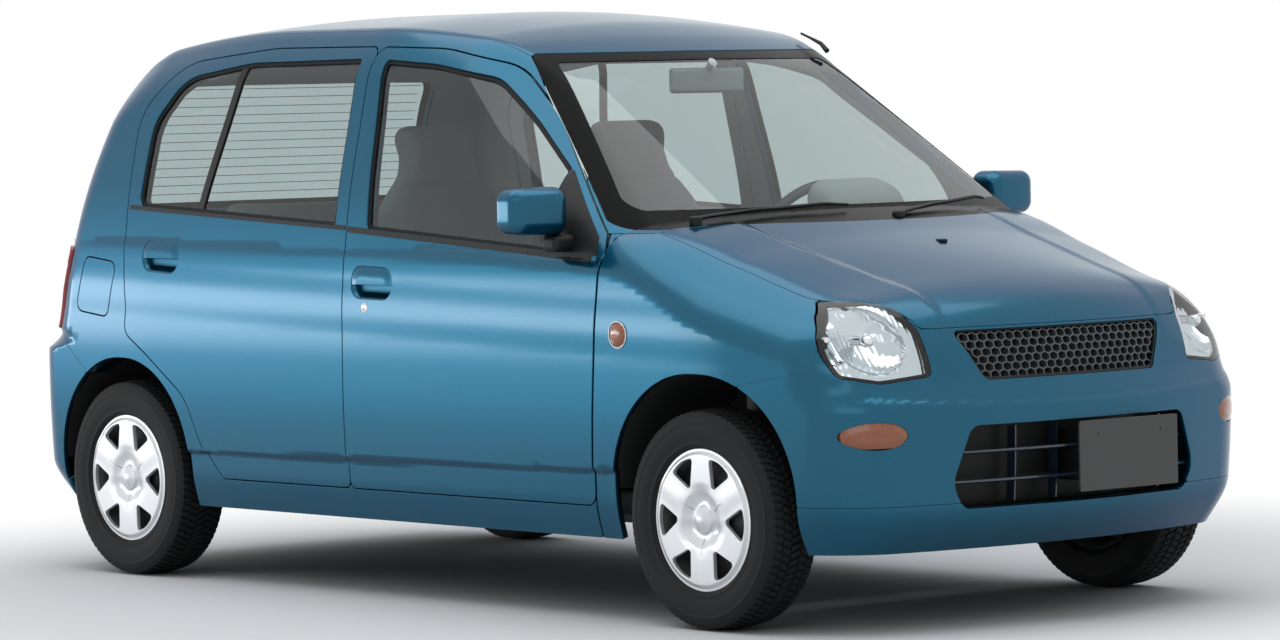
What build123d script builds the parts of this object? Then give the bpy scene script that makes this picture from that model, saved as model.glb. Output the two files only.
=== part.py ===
from build123d import *
from functools import lru_cache
import math
import os

# Kei-class five-door hatchback. Millimetres; +X forward, +Y left, +Z up,
# origin on the ground under the middle of the car.

# ---- driving dimensions ----------------------------------------------------
length = 3395.0            # overall, rear bumper to front plate
body_half_width = 737.5    # at the doors
roof_height = 1486.0       # at the centreline
rear_axle_x = -1240.0
front_axle_x = 1100.0
track_half = 652.0
tyre_radius = 262.0
tyre_width = 155.0
rim_radius = 165.0
sill_height = 200.0        # underside of the rockers
belt_height = 935.0        # level where the body sides start to lean in
belt_front_z = 862.0       # line just under the side windows, at belt_front_x
belt_front_x = 820.0
belt_slope = 0.0587
seam = 8.0                 # open gap round every moving panel
joint_gap = 0.8            # open gap between fixed panels
lower_wall = 75.0          # whole door thickness below the belt
upper_wall = 36.0          # window frames, pillars and roof
skin = 22.0                # bumpers, fenders and hood with their inner panel
glass_thickness = 5.0
glass_fit = 0.3
seat_gap = 0.3             # rest gap between pieces that bear on each other

floor_top = 245.0
floor_thickness = 20.0
rear_floor_top = 352.0
wheelhouse_inner_y = 540.0

front_tip = length / 2
rear_tip = -length / 2
plate_stack = 33.0         # how far the front plate stands ahead of the bumper
bumper_front = front_tip - plate_stack
bumper_bow = 2100.0        # plan radius of the nose
windshield_bow = 1450.0
widest_x = -250.0          # where the greenhouse is widest

# columns: z, front face x, rear face x, half width
lower_levels = [
    (150.0, bumper_front - 95.0, rear_tip + 100.0, body_half_width - 42.0),
    (300.0, bumper_front - 8.0, rear_tip, body_half_width - 8.0),
    (515.0, bumper_front, rear_tip, body_half_width),
    (600.0, bumper_front - 36.0, rear_tip, body_half_width - 0.5),
    (655.0, bumper_front - 50.0, rear_tip + 58.0, body_half_width - 1.5),
    (820.0, bumper_front - 91.0, rear_tip + 101.0, body_half_width - 9.0),
    (1010.0, bumper_front - 136.0, rear_tip + 153.0, body_half_width - 34.0),
]
# columns: z, windshield x on the centreline, rear face x, half width, half width at the front pillar
upper_levels = [
    (820.0, 1132.0, rear_tip + 101.0, body_half_width - 9.0, body_half_width - 24.0),
    (1010.0, 853.0, rear_tip + 153.0, body_half_width - 34.0, body_half_width - 56.0),
    (1240.0, 515.0, rear_tip + 244.0, body_half_width - 83.0, body_half_width - 137.0),
    (1375.0, 316.0, rear_tip + 340.0, body_half_width - 112.0, body_half_width - 187.0),
    (1560.0, 44.0, rear_tip + 500.0, body_half_width - 152.0, body_half_width - 256.0),
]
# columns: x, centre z, y of the shoulder line, shoulder z
hood_stations = [
    (-1800.0, 1010.0, 640.0, 1005.0),
    (760.0, 1000.0, 640.0, 950.0),
    (1100.0, 915.0, 600.0, 858.0),
    (1362.0, 846.0, 573.0, 775.0),
    (1463.0, 812.0, 530.0, 758.0),
    (1527.0, 781.0, 470.0, 722.0),
    (1592.0, 722.0, 400.0, 678.0),
    (1760.0, 300.0, 400.0, 260.0),
]
# columns: x, centre z, y of the roof edge, z of the roof edge
roof_stations = [
    (-1760.0, 1120.0, 548.0, 1090.0),
    (-1335.0, 1398.0, 548.0, 1365.0),
    (-1200.0, 1448.0, 548.0, 1410.0),
    (-700.0, roof_height, 548.0, 1447.0),
    (-330.0, roof_height, 548.0, 1446.0),
    (50.0, 1454.0, 516.0, 1416.0),
    (330.0, 1374.0, 468.0, 1338.0),
    (1100.0, 1120.0, 400.0, 1080.0),
]
roof_seam_y = 548.0        # seam between roof and body side


# ---- geometry helpers ------------------------------------------------------
def rounded_edges(points, place):
    """Closed outline from rows of (u, v, corner radius)."""
    count = len(points)
    starts, ends, mids = [], [], []
    for i, (u, v, r) in enumerate(points):
        ax, ay = points[i - 1][0] - u, points[i - 1][1] - v
        bx, by = points[(i + 1) % count][0] - u, points[(i + 1) % count][1] - v
        la, lb = math.hypot(ax, ay), math.hypot(bx, by)
        ax, ay, bx, by = ax / la, ay / la, bx / lb, by / lb
        half = math.acos(max(-1.0, min(1.0, ax * bx + ay * by))) / 2
        if r <= 0 or half > math.pi / 2 - 1e-4:
            starts.append((u, v))
            ends.append((u, v))
            mids.append(None)
            continue
        if r >= 1000.0:
            back = min(r / math.tan(half), 0.999 * la, 0.6 * lb)
        else:
            back = min(r / math.tan(half), 0.49 * la, 0.49 * lb)
        radius = back * math.tan(half)
        cx, cy = ax + bx, ay + by
        lc = math.hypot(cx, cy)
        reach = radius / math.sin(half) - radius
        starts.append((u + ax * back, v + ay * back))
        ends.append((u + bx * back, v + by * back))
        mids.append((u + cx / lc * reach, v + cy / lc * reach))
    edges = []
    for i in range(count):
        if mids[i] is not None:
            edges.append(Edge.make_three_point_arc(place(*starts[i]), place(*mids[i]), place(*ends[i])))
        nxt = starts[(i + 1) % count]
        if math.dist(ends[i], nxt) > 1e-6:
            edges.append(Edge.make_line(place(*ends[i]), place(*nxt)))
    return edges


def outline_face(points, place):
    return Face(Wire(rounded_edges(points, place)))


def side_prism(points, y0, y1):
    """Outline of (x, z, radius) rows pushed along Y."""
    face = outline_face(points, lambda u, v: Vector(u, y0, v))
    return Solid.extrude(face, Vector(0, y1 - y0, 0))


def top_prism(points, z0, z1):
    """Outline of (x, y, radius) rows pushed along Z."""
    face = outline_face(points, lambda u, v: Vector(u, v, z0))
    return Solid.extrude(face, Vector(0, 0, z1 - z0))


def front_prism(points, x0, x1):
    """Outline of (y, z, radius) rows pushed along X."""
    face = outline_face(points, lambda u, v: Vector(x0, u, v))
    return Solid.extrude(face, Vector(x1 - x0, 0, 0))


def block(x0, x1, y0, y1, z0, z1):
    box = Solid.make_box(x1 - x0, y1 - y0, z1 - z0)
    return box.moved(Location((x0, y0, z0)))


def both(half_rows):
    """Rows for y >= 0 listed front to back, completed with their mirror images."""
    mirror = [(x, -y, r) for x, y, r in reversed(half_rows) if y > 0]
    return half_rows + mirror


def mirrored(shape):
    return shape.mirror(Plane.XZ)


def grow(points, amount):
    """Moves every side of an outline outwards (or inwards) by one distance."""
    area = sum(points[i - 1][0] * points[i][1] - points[i][0] * points[i - 1][1] for i in range(len(points)))
    turn = 1.0 if area > 0 else -1.0
    rows = []
    for i, (u, v, r) in enumerate(points):
        pu, pv, _ = points[i - 1]
        nu, nv, _ = points[(i + 1) % len(points)]
        la, lb = math.hypot(u - pu, v - pv), math.hypot(nu - u, nv - v)
        n1 = (turn * (v - pv) / la, -turn * (u - pu) / la)
        n2 = (turn * (nv - v) / lb, -turn * (nu - u) / lb)
        share = 1 + n1[0] * n2[0] + n1[1] * n2[1]
        cross = turn * ((u - pu) * (nv - v) - (v - pv) * (nu - u))
        radius = max(r + amount, 1.0) if cross > 0 else max(r - amount, 1.0)
        rows.append((u + amount * (n1[0] + n2[0]) / share, v + amount * (n1[1] + n2[1]) / share,
                     radius if r > 0 else 0))
    return rows


# ---- body surfaces, right half ---------------------------------------------
flowing = 1.0e6            # corner radius of an arc that takes all the room it has


def section_wire(rows, place):
    return Wire(rounded_edges(rows, place))


def lower_plan(z, front, rear, half, inset):
    """Half plan of the body below the belt at one height."""
    front, rear, half = front - inset, rear + inset, half - inset
    corner_y = half - 69.5
    lean = math.tan(math.radians(13.0))
    bend_y = bumper_bow * math.tan(math.radians(6.5))
    rows = [(front, 0.0, 0), (front, -bend_y, flowing),
            (front - (corner_y - bend_y) * lean, -corner_y, max(135.0 - inset, 30.0)),
            (front_axle_x, -half, 1500.0), (rear_axle_x + 100.0, -half - 0.01, 1500.0),
            (rear, -half + 12.0, max(105.0 - inset, 25.0)), (rear, 0.0, 0)]
    return section_wire(rows, lambda u, v: Vector(u, v, z))


def upper_plan(z, front, rear, half, pillar, inset):
    """Half plan of the greenhouse at one height, narrowing from the centre pillars to the windshield."""
    front, rear, half, pillar = front - inset, rear + inset, half - inset, pillar - inset
    lean = math.asin((pillar - 58.0) / windshield_bow)
    bend_y = windshield_bow * math.tan(lean / 2)
    rows = [(front, 0.0, 0), (front, -bend_y, flowing),
            (front - (pillar - bend_y) * math.tan(lean), -pillar, max(70.0 - inset, 20.0)),
            (widest_x, -half, 1500.0),
            (rear, -half + 6.0, max(100.0 - inset, 25.0)), (rear, 0.0, 0)]
    return section_wire(rows, lambda u, v: Vector(u, v, z))


def hood_section(x, centre_z, edge_y, edge_z, inset):
    side, drop = body_half_width + 60.0, 105.0
    rows = [(0.0, centre_z - inset, 0), (-0.45 * edge_y, centre_z - inset, flowing),
            (-edge_y, edge_z - inset, 130.0), (inset - body_half_width, edge_z - drop - inset, 160.0),
            (-side, edge_z - drop - 420.0, 0), (-side, -300.0, 0), (0.0, -300.0, 0)]
    return section_wire(rows, lambda u, v: Vector(x, u, v))


def roof_section(x, centre_z, edge_y, edge_z, inset):
    side = edge_y + 300.0
    rows = [(0.0, centre_z - inset, 0), (-0.45 * edge_y, centre_z - inset, flowing),
            (-edge_y, edge_z - inset, 70.0), (inset - side, edge_z - 330.0, 0), (inset - side, 700.0, 0),
            (0.0, 700.0, 0)]
    return section_wire(rows, lambda u, v: Vector(x, u, v))


@lru_cache(maxsize=None)
def lower_volume(inset, top_inset):
    plans = Solid.make_loft([lower_plan(*row, inset) for row in lower_levels], ruled=True)
    tops = Solid.make_loft([hood_section(*row, top_inset) for row in hood_stations], ruled=True)
    return plans & tops


@lru_cache(maxsize=None)
def upper_volume(inset):
    plans = Solid.make_loft([upper_plan(*row, inset) for row in upper_levels], ruled=True)
    tops = Solid.make_loft([roof_section(*row, inset) for row in roof_stations], ruled=True)
    return plans & tops


# ---- seams in side view: rows of (x, z, corner radius) ---------------------
door_bottom = 277.0
b_seam_x = -256.0
arch_radius = 290.0
front_arch = (front_axle_x - 310.0, front_axle_x + 295.0, 607.0)   # rear edge, front edge, top
rear_arch = (rear_axle_x - 300.0, rear_axle_x + 300.0, 587.0)

front_door_outline = [
    (713.0, door_bottom, 30.0), (748.0, 880.0, 200.0), (727.0, 932.0, 20.0), (418.0, 1207.0, 900.0),
    (222.0, 1342.0, 250.0), (-20.0, 1390.0, 500.0), (b_seam_x, 1400.0, 30.0), (b_seam_x, door_bottom, 20.0)]
rear_door_outline = [
    (b_seam_x, 1400.0, 30.0), (-700.0, 1404.0, 900.0), (-1085.0, 1372.0, 220.0), (-1237.0, 1235.0, 130.0),
    (-1233.0, 900.0, 500.0), (-1212.0, 720.0, 80.0), (-1222.0, 655.0, 40.0), (-1120.0, 598.0, 120.0),
    (-950.0, 490.0, 150.0), (-878.0, 352.0, 150.0), (-806.0, door_bottom, 20.0), (b_seam_x, door_bottom, 20.0)]
front_window = [
    (-176.0, 938.0, 12.0), (534.0, 889.0, 4.0), (530.0, 1088.0, 4.0), (363.0, 1204.0, 900.0),
    (190.0, 1314.0, 160.0), (-30.0, 1353.0, 500.0), (-213.0, 1368.0, 14.0)]
rear_window = [
    (-303.0, 945.0, 12.0), (-302.0, 1372.0, 14.0), (-780.0, 1369.0, 700.0), (-1050.0, 1335.0, 160.0),
    (-1172.0, 1215.0, 120.0), (-1184.0, 992.0, 25.0)]
fuel_lid_outline = [(-1413.0, 857.0, 25.0), (-1263.0, 842.0, 25.0), (-1302.0, 694.0, 25.0), (-1453.0, 710.0, 25.0)]
# door handle recesses: rows of (x, z, corner radius)
front_handle = [(-222.0, 848.0, 38.0), (-53.0, 842.0, 38.0), (-53.0, 758.0, 38.0), (-222.0, 762.0, 38.0)]
rear_handle = [(-1141.0, 905.0, 38.0), (-976.0, 896.0, 38.0), (-976.0, 812.0, 38.0), (-1141.0, 820.0, 38.0)]
handle_depth = 24.0
handle_flap_drop = 42.0    # how far the flap hangs down over the recess

front_hinge_x = 640.0
rear_hinge_x = -348.0
hinge_y = 715.0
hinge_pin_radius = 9.0
door_inner_y = 556.0       # nothing of a door lies further in than this
frame_inner_y = 420.0      # nor of its window frame than this


def arch_outline(rear, front, top):
    return [(rear, 0.0, 0), (front, 0.0, 0), (front, top, arch_radius), (rear, top, arch_radius)]


far = 2500.0


def right_prism(points, y_inner=-200.0):
    return side_prism(points, -far, y_inner)


# ---- body panels, right side first ----------------------------------------
def belt_z(x):
    return belt_front_z + (belt_front_x - x) * belt_slope


lower_outer = lower_volume(0.0, 0.0)
upper_outer = upper_volume(0.0)
lower_cabin = lower_volume(lower_wall, -20.0)
upper_cabin = upper_volume(upper_wall)
front_cavity = lower_volume(skin, skin)
below_belt = side_prism([(-far, -far, 0), (belt_front_x, -far, 0), (belt_front_x, belt_front_z, 0),
                         (-far, belt_z(-far), 0)], -far, far)
above_belt = side_prism([(far, belt_z(far), 0), (far, far, 0), (-far, far, 0), (-far, belt_z(-far), 0)], -far, far)

lower_shell = (lower_outer & below_belt) - lower_cabin
upper_shell = (upper_outer & above_belt) - upper_cabin
front_shell = lower_outer - front_cavity

nodes = {}


def keep(name, *solids):
    nodes[name] = solids[0] if len(solids) == 1 else Compound(children=list(solids))


def pair_of(name, right):
    """Stores a right-hand solid and its mirror image as two nodes."""
    keep(name + "_right", right)
    keep(name + "_left", mirrored(right))


def largest(shape):
    return max(shape.solids(), key=lambda s: s.volume)


def whole(right):
    """A centre piece from its right half."""
    return largest(right + mirrored(right))


def cylinder_y(x, y0, y1, z, radius):
    plane = Plane((x, y0, z), x_dir=(1, 0, 0), z_dir=(0, 1 if y1 > y0 else -1, 0))
    return Solid.make_cylinder(radius, abs(y1 - y0), plane)


def cylinder_z(x, y, z0, z1, radius):
    return Solid.make_cylinder(radius, z1 - z0, Plane((x, y, z0)))


def tube_between(a, b, radius):
    a, b = Vector(*a), Vector(*b)
    return Solid.make_cylinder(radius, (b - a).length, Plane(a, z_dir=(b - a)))


# outlines of the windshield opening and the roof panel
windshield_outline = [(-668.0, 941.0, 20.0), (-482.0, 1372.0, 30.0), (100.0, 1372.0, 0), (100.0, 941.0, 0)]
windshield_region = front_prism(windshield_outline, 150.0, far)
gate_seam_x = -1262.0
roof_rear_x = gate_seam_x + seam
roof_outline = [(330.0, 100.0, 0), (330.0, -470.0, 0), (-260.0, -roof_seam_y, 1500.0), (roof_rear_x, -roof_seam_y, 0),
                (roof_rear_x, 100.0, 0)]
roof_region = top_prism(roof_outline, 1300.0, far)

# doors, each with its window cut and a pane in it
door_clearance = 6.0
glass_room = (upper_volume(-20.0) - upper_volume(3.0 + glass_thickness + door_clearance)) & front_prism(
    grow(windshield_outline, door_clearance), 150.0, far)
roof_room = top_prism(grow(roof_outline, door_clearance), 1300.0, far)
door_rows = (("front_door", front_door_outline, front_window, front_handle),
             ("rear_door", rear_door_outline, rear_window, rear_handle))
pane_band = upper_volume(14.0) - upper_volume(14.0 + glass_thickness)
handle_room = lower_outer - lower_volume(handle_depth, -20.0)
flap_band = lower_volume(1.5, -20.0) - lower_volume(7.5, -20.0)
for name, outline, window, handle in door_rows:
    lower_region = right_prism(grow(outline, -seam / 2), -door_inner_y)
    upper_region = right_prism(grow(outline, -seam / 2), -frame_inner_y)
    door = (lower_shell & lower_region) + (upper_shell & upper_region) - right_prism(window)
    door = door - (handle_room & right_prism(handle))
    flap_bottom = handle[0][1] - handle_flap_drop
    flap = flap_band & right_prism(grow(handle, 2.0)) & block(-far, far, -far, 0.0, flap_bottom, far)
    pair_of(name, largest(door + flap - glass_room - roof_room))
    pane = pane_band & right_prism(grow(window, -glass_fit))
    pair_of(name + "_glass", largest(pane))

# fixed body side: rocker, pillars, roof rail and quarter panel
door_cut = right_prism(grow(front_door_outline, seam / 2)) + right_prism(grow(rear_door_outline, seam / 2))
arches = right_prism(arch_outline(*rear_arch)) + right_prism(arch_outline(*front_arch))
rear_bumper_edge = [(-1413.0, 548.0, 0), (-1551.0, 652.0, 15.0), (-far, 652.0, 0), (-far, -far, 0), (-1413.0, -far, 0)]
fuel_pocket = right_prism(grow(fuel_lid_outline, seam / 2), -body_half_width + 32.0)
tail_lamp_outline = [(-1566.0, 655.0, 8.0), (-1487.0, 882.0, 12.0), (-far, 882.0, 0), (-far, 655.0, 0)]
tailgate_outline = [(-600.0, 668.0, 40.0), (-575.0, 900.0, 200.0), (-520.0, 1350.0, 60.0), (-505.0, 1420.0, 10.0),
                    (400.0, 1420.0, 0), (400.0, 668.0, 0)]
gate_front_x = -1230.0
tailgate_region = front_prism(tailgate_outline, -far, gate_front_x)
side_limit = side_prism([(-far, sill_height, 0), (900.0, sill_height, 0), (900.0, far, 0), (-far, far, 0)], -far, 0.0)
fender_rear_outline = [(713.0, -far, 0), (713.0, door_bottom, 0), (748.0, 880.0, 200.0), (731.0, 932.0, 0),
                       (far, 932.0, 0), (far, -far, 0)]

side = (lower_shell + upper_shell) & side_limit
side = side - door_cut - arches
side = side - side_prism(grow(rear_bumper_edge, joint_gap), -far, far)
side = side - side_prism(grow(fender_rear_outline, joint_gap), -far, far)
side = side - tailgate_region - windshield_region - roof_region
side = largest(side - side_prism(tail_lamp_outline, -far, -560.0))
b_pillar = (lower_volume(82.0, -20.0) - lower_volume(138.0, -20.0)) & below_belt
b_pillar = b_pillar & block(b_seam_x + 6.0, b_seam_x + 76.0, -far, 0.0, sill_height, far)
sill_inner = (lower_volume(60.0, -20.0) - lower_volume(138.0, -20.0)) & block(-800.0, 770.0, -far, 0.0, sill_height,
                                                                             door_bottom - seam / 2)
liner = side_prism(grow(arch_outline(*rear_arch), 14.0), -far, -wheelhouse_inner_y) - right_prism(
    arch_outline(*rear_arch), -wheelhouse_inner_y - 12.0)
liner = (liner & lower_outer) & block(-1565.0, -900.0, -far, 0.0, rear_floor_top - floor_thickness, far)
bumper_wall = skin + joint_gap
rear_bumper_room = (lower_outer - lower_volume(bumper_wall, bumper_wall)) & side_prism(
    grow(rear_bumper_edge, joint_gap), -far, 0.0)
liner = liner - rear_bumper_room
hinge_pins = [cylinder_z(x, -hinge_y, door_bottom - 18.0, door_bottom + seam / 2 - seat_gap, hinge_pin_radius)
              for x in (front_hinge_x, rear_hinge_x)]
for extra in [sill_inner, b_pillar, liner] + hinge_pins:
    side = side + extra
side = largest(side)
keep("body_side_left", mirrored(side))
fuel_hinge = (lower_volume(9.0 + seat_gap, -20.0) - lower_volume(40.0, -20.0)) & block(
    -1316.0, -1262.0, -far, 0.0, 750.0, 786.0)
keep("body_side_right", largest(side - fuel_pocket + fuel_hinge))
roof = (upper_shell & roof_region) - windshield_region - tailgate_region
gate_wall = 42.0
hinge_tab = (upper_volume(upper_wall - 6.0) - upper_volume(gate_wall + 18.0)) & block(
    roof_rear_x, roof_rear_x + 40.0, -410.0, -360.0, 0.0, far)
hinge_tab = hinge_tab + ((upper_volume(gate_wall + seat_gap) - upper_volume(gate_wall + 18.0)) & block(
    gate_seam_x - 30.0, roof_rear_x, -410.0, -360.0, 1300.0, far))
keep("roof_panel", whole(roof + hinge_tab))

# front clip
clip_limit = block(700.0, far, -far, 0.0, -200.0, far)
fender_outline = [(719.0, sill_height, 0), (719.0, door_bottom, 0), (754.0, 880.0, 200.0), (738.0, 931.0, 0),
                  (850.0, 931.0, 0), (900.0, 960.0, 0), (1440.0, 960.0, 0), (1440.0, 618.0, 10.0), (1400.0, 612.0, 60.0),
                  (1233.0, 583.0, 0), (1160.0, 560.0, 0), (1100.0, sill_height, 0)]
bumper_outline = [(1200.0, -far, 0), (1200.0, 570.0, 0), (1233.0, 583.0, 0), (1400.0, 612.0, 60.0),
                  (1440.0, 618.0, 10.0), (1440.0, 790.0, 0), (far, 790.0, 0), (far, -far, 0)]
headlamp_outline = [(-424.0, 599.0, 15.0), (-560.0, 586.0, 60.0), (-650.0, 594.0, 40.0), (-679.0, 640.0, 40.0),
                    (-679.0, 745.0, 50.0), (-613.0, 778.0, 30.0), (-474.0, 782.0, 25.0), (-430.0, 706.0, 12.0)]
hood_outline = both([(1648.0, 0.0, 1400.0), (1527.0, 434.0, 25.0), (1455.0, 500.0, 60.0), (1362.0, 573.0, 200.0),
                     (862.0, 626.0, 12.0), (1045.0, 0.0, 1450.0)])
grille_outline = [(-348.0, 702.0, 12.0), (-281.0, 584.0, 25.0), (281.0, 584.0, 25.0), (348.0, 702.0, 12.0)]
opening_outline = [(-352.0, 482.0, 22.0), (-396.0, 351.0, 60.0), (-362.0, 288.0, 25.0), (362.0, 288.0, 25.0),
                   (396.0, 351.0, 60.0), (352.0, 482.0, 22.0)]
signal_outline = [(-511.0, 475.0, 30.0), (-508.0, 449.0, 25.0), (-640.0, 449.0, 31.0), (-640.0, 515.0, 31.0),
                  (-530.0, 515.0, 31.0)]
hood_lip_z = 709.0
hood_top = top_prism(hood_outline, hood_lip_z, far)
hood_cut = top_prism(grow(hood_outline, seam), hood_lip_z - seam, far) + top_prism(
    both([(1648.0 + 14.0, 0.0, 1400.0), (1527.0 + 12.0, 434.0, 25.0), (1500.0, 434.0, 0)]), hood_lip_z - seam, far)
lamp_box = front_prism(headlamp_outline, 1300.0, far)
lamp_cut = front_prism(grow(headlamp_outline, joint_gap), 1300.0, far)
cowl_region = top_prism(both([(1038.0, 0.0, 1450.0), (856.0, 626.0, 0), (862.0, 660.0, 0), (780.0, 660.0, 0),
                              (900.0, 0.0, 1300.0)]), 800.0, far)
clip = front_shell & clip_limit
arch_wall = 8.0
wheelhouse_wall_y = 408.0
bumper_room = (lower_outer - lower_volume(skin + joint_gap, skin + joint_gap)) & side_prism(bumper_outline, -far, 0.0)
hood = (lower_outer & hood_top) - lower_volume(skin, skin)
keep("hood", whole(hood))
hood_tab = (lower_volume(0.0, skin + seat_gap) - lower_volume(0.0, skin + 12.0)) & block(
    870.0, 950.0, -520.0, -480.0, 0.0, far)
fender = (clip & side_prism(fender_outline, -far, 0.0)) - hood_cut - lamp_cut - arches
fender = fender & block(0.0, far, -far, -500.0, 0.0, far)
fender = largest(fender - cowl_region)
wheelhouse = side_prism(grow(arch_outline(*front_arch), arch_wall), -far, -wheelhouse_wall_y) - right_prism(
    arch_outline(*front_arch), -wheelhouse_wall_y - arch_wall)
wheelhouse = (wheelhouse & lower_volume(1.0, 60.0)) & block(700.0, front_axle_x + 320.0, -far, 0.0, floor_top + 60.0, far)
fender = largest(fender + (wheelhouse - hood_cut - lamp_cut - bumper_room))
keep("front_fenders", fender, mirrored(fender))
bumper = (clip & side_prism(grow(bumper_outline, -joint_gap), -far, 0.0)) - hood_cut - lamp_cut - arches
bumper = bumper - front_prism(grille_outline, 1300.0, far) - front_prism(opening_outline, 1300.0, far)
bumper = bumper - front_prism(signal_outline, 1300.0, far)
bumper = bumper & block(1200.0, far, -far, 0.0, 190.0, far)
keep("front_bumper", whole(largest(bumper)))
lamp_band = lower_outer - lower_volume(90.0, 60.0)
lamp = largest(lamp_band & lamp_box - hood_cut)
keep("headlamps", lamp, mirrored(lamp))
grille_band = lower_volume(8.0, 8.0) - lower_volume(14.0, 14.0)
grille = grille_band & front_prism(grow(grille_outline, -glass_fit), 1300.0, far)
grille = whole(largest(grille - hood_cut))
keep("grille", grille)
signal_band = lower_volume(4.0, 4.0) - lower_volume(26.0, 26.0)
signal = largest(signal_band & front_prism(grow(signal_outline, -glass_fit), 1300.0, far))
marker_x, marker_z, marker_radius = 827.0, 693.0, 30.0
marker = cylinder_y(marker_x, -body_half_width + 1.5, -body_half_width - 7.0, marker_z, marker_radius)
keep("indicator_lamps", signal, mirrored(signal), marker, mirrored(marker))

# plates
plate_width, plate_height, plate_thickness = 330.0, 165.0, 1.5
plate_y, plate_z = 105.0, 395.0
plate_hole_spacing, plate_hole_radius, plate_hole_rise = 210.0, 3.5, 50.0
bracket = block(bumper_front - 120.0, front_tip - plate_thickness, plate_y - 130.0, plate_y + 130.0, plate_z - 60.0,
                plate_z + 60.0)
plate = block(front_tip - plate_thickness, front_tip, plate_y - plate_width / 2, plate_y + plate_width / 2,
              plate_z - plate_height / 2, plate_z + plate_height / 2)
duct_depth = 72.0
duct_back = lower_volume(duct_depth - seat_gap, duct_depth - seat_gap)
front_plate = plate + bracket - duct_back - mirrored(duct_back)
for side in (-0.5, 0.5):
    hole = Plane((front_tip - 40.0, plate_y + side * plate_hole_spacing, plate_z + plate_hole_rise), z_dir=(1, 0, 0))
    front_plate = front_plate - Solid.make_cylinder(plate_hole_radius, 60.0, hole)
keep("front_plate", largest(front_plate))

# duct, bars and webs behind the bumper opening
duct_wall = 6.0
duct = lower_volume(skin + seat_gap, skin + seat_gap) & front_prism(grow(opening_outline, 10.0), 1300.0, far)
duct = duct - lower_volume(duct_depth + duct_wall, duct_depth + duct_wall)
duct = duct - (front_prism(grow(opening_outline, 4.0), 1300.0, far) - lower_volume(duct_depth, duct_depth))
bar_band = lower_volume(10.0, 10.0) - lower_volume(duct_depth + 1.0, duct_depth + 1.0)
bar_limit = bar_band & front_prism(grow(opening_outline, -glass_fit), 1300.0, far)
web_limit = bar_limit & lower_volume(16.0, 16.0)
for z in (345.0, 415.0):
    duct = duct + (bar_limit & block(1300.0, far, -far, 0.0, z - 5.0, z + 5.0))
for y in (-215.0, -95.0):
    duct = duct + (web_limit & block(1300.0, far, y - 3.0, y + 3.0, 0.0, far))
plate_room = block(0.0, far, plate_y - plate_width / 2 - 6.0, plate_y + plate_width / 2 + 6.0, 0.0, far)
plate_room = plate_room - duct_back - mirrored(duct_back)
keep("lower_grille", largest(whole(duct) - plate_room))

# windshield and cowl
windshield = (upper_volume(3.0) - upper_volume(3.0 + glass_thickness)) & front_prism(
    grow(windshield_outline, -joint_gap)[:2] + [(100.0, 1370.0, 0), (100.0, 943.0, 0)], 150.0, far)
keep("windshield", whole(largest(windshield)))
cowl_top = 934.0
cowl = (lower_outer & cowl_region & block(700.0, far, -far, 0.0, 860.0, cowl_top)) - lower_volume(18.0, 40.0)
keep("cowl", whole(largest(largest(cowl) + hood_tab)))

# tail
gate_band = (lower_outer - lower_volume(gate_wall, -20.0)) & below_belt
gate_upper = (upper_outer & above_belt) - upper_volume(gate_wall)
gate_shrunk = grow(tailgate_outline, -seam)
gate_shrunk[4] = (400.0, gate_shrunk[3][1], 0)
gate_shrunk[5] = (400.0, gate_shrunk[0][1], 0)
gate_region = front_prism(gate_shrunk, -far, gate_seam_x)
gate_window = [(-505.0, 975.0, 60.0), (-462.0, 1335.0, 60.0), (400.0, 1335.0, 0), (400.0, 975.0, 0)]
window_tunnel = front_prism(gate_window, -far, -1100.0)
gate = (gate_band & gate_region) + (gate_upper & gate_region) - window_tunnel
keep("tailgate", whole(largest(gate)))
gate_pane = (upper_volume(6.0) - upper_volume(6.0 + glass_thickness)) & front_prism(
    [(-505.0 + glass_fit, 975.3, 60.0), (-462.0 + glass_fit, 1334.7, 60.0), (400.0, 1334.7, 0), (400.0, 975.3, 0)],
    -far, -1100.0)
keep("tailgate_glass", whole(largest(gate_pane)))
gate_lean = 17.0
rear_plate_z = 800.0
rear_plate_x = rear_tip + 84.0
rear_plate = Box(plate_thickness, plate_width, plate_height) + Pos(14.0, 0, 0) * Box(28.0, 260.0, 100.0)
rear_plate = Pos(rear_plate_x, 0, rear_plate_z) * Rot(0, gate_lean, 0) * rear_plate
gate_skin = lower_volume(-seat_gap, -20.0)
rear_plate = rear_plate - gate_skin - mirrored(gate_skin)
keep("rear_plate", largest(rear_plate))
tail_lamp = ((lower_outer - lower_volume(40.0, -20.0)) & side_prism(grow(tail_lamp_outline, -joint_gap), -far, -605.0))
keep("tail_lamps", largest(tail_lamp), mirrored(largest(tail_lamp)))
rear_bumper = ((lower_outer - lower_volume(skin, skin)) & side_prism(
    rear_bumper_edge[:3] + [(-far, 215.0, 0), (-1413.0, 250.0, 0)], -far, 0.0))
rear_bumper = rear_bumper - arches
keep("rear_bumper", whole(largest(rear_bumper)))
fuel_lid = (lower_outer - lower_volume(9.0, -20.0)) & right_prism(grow(fuel_lid_outline, -seam / 4), -500.0)
keep("fuel_lid", largest(fuel_lid))

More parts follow.
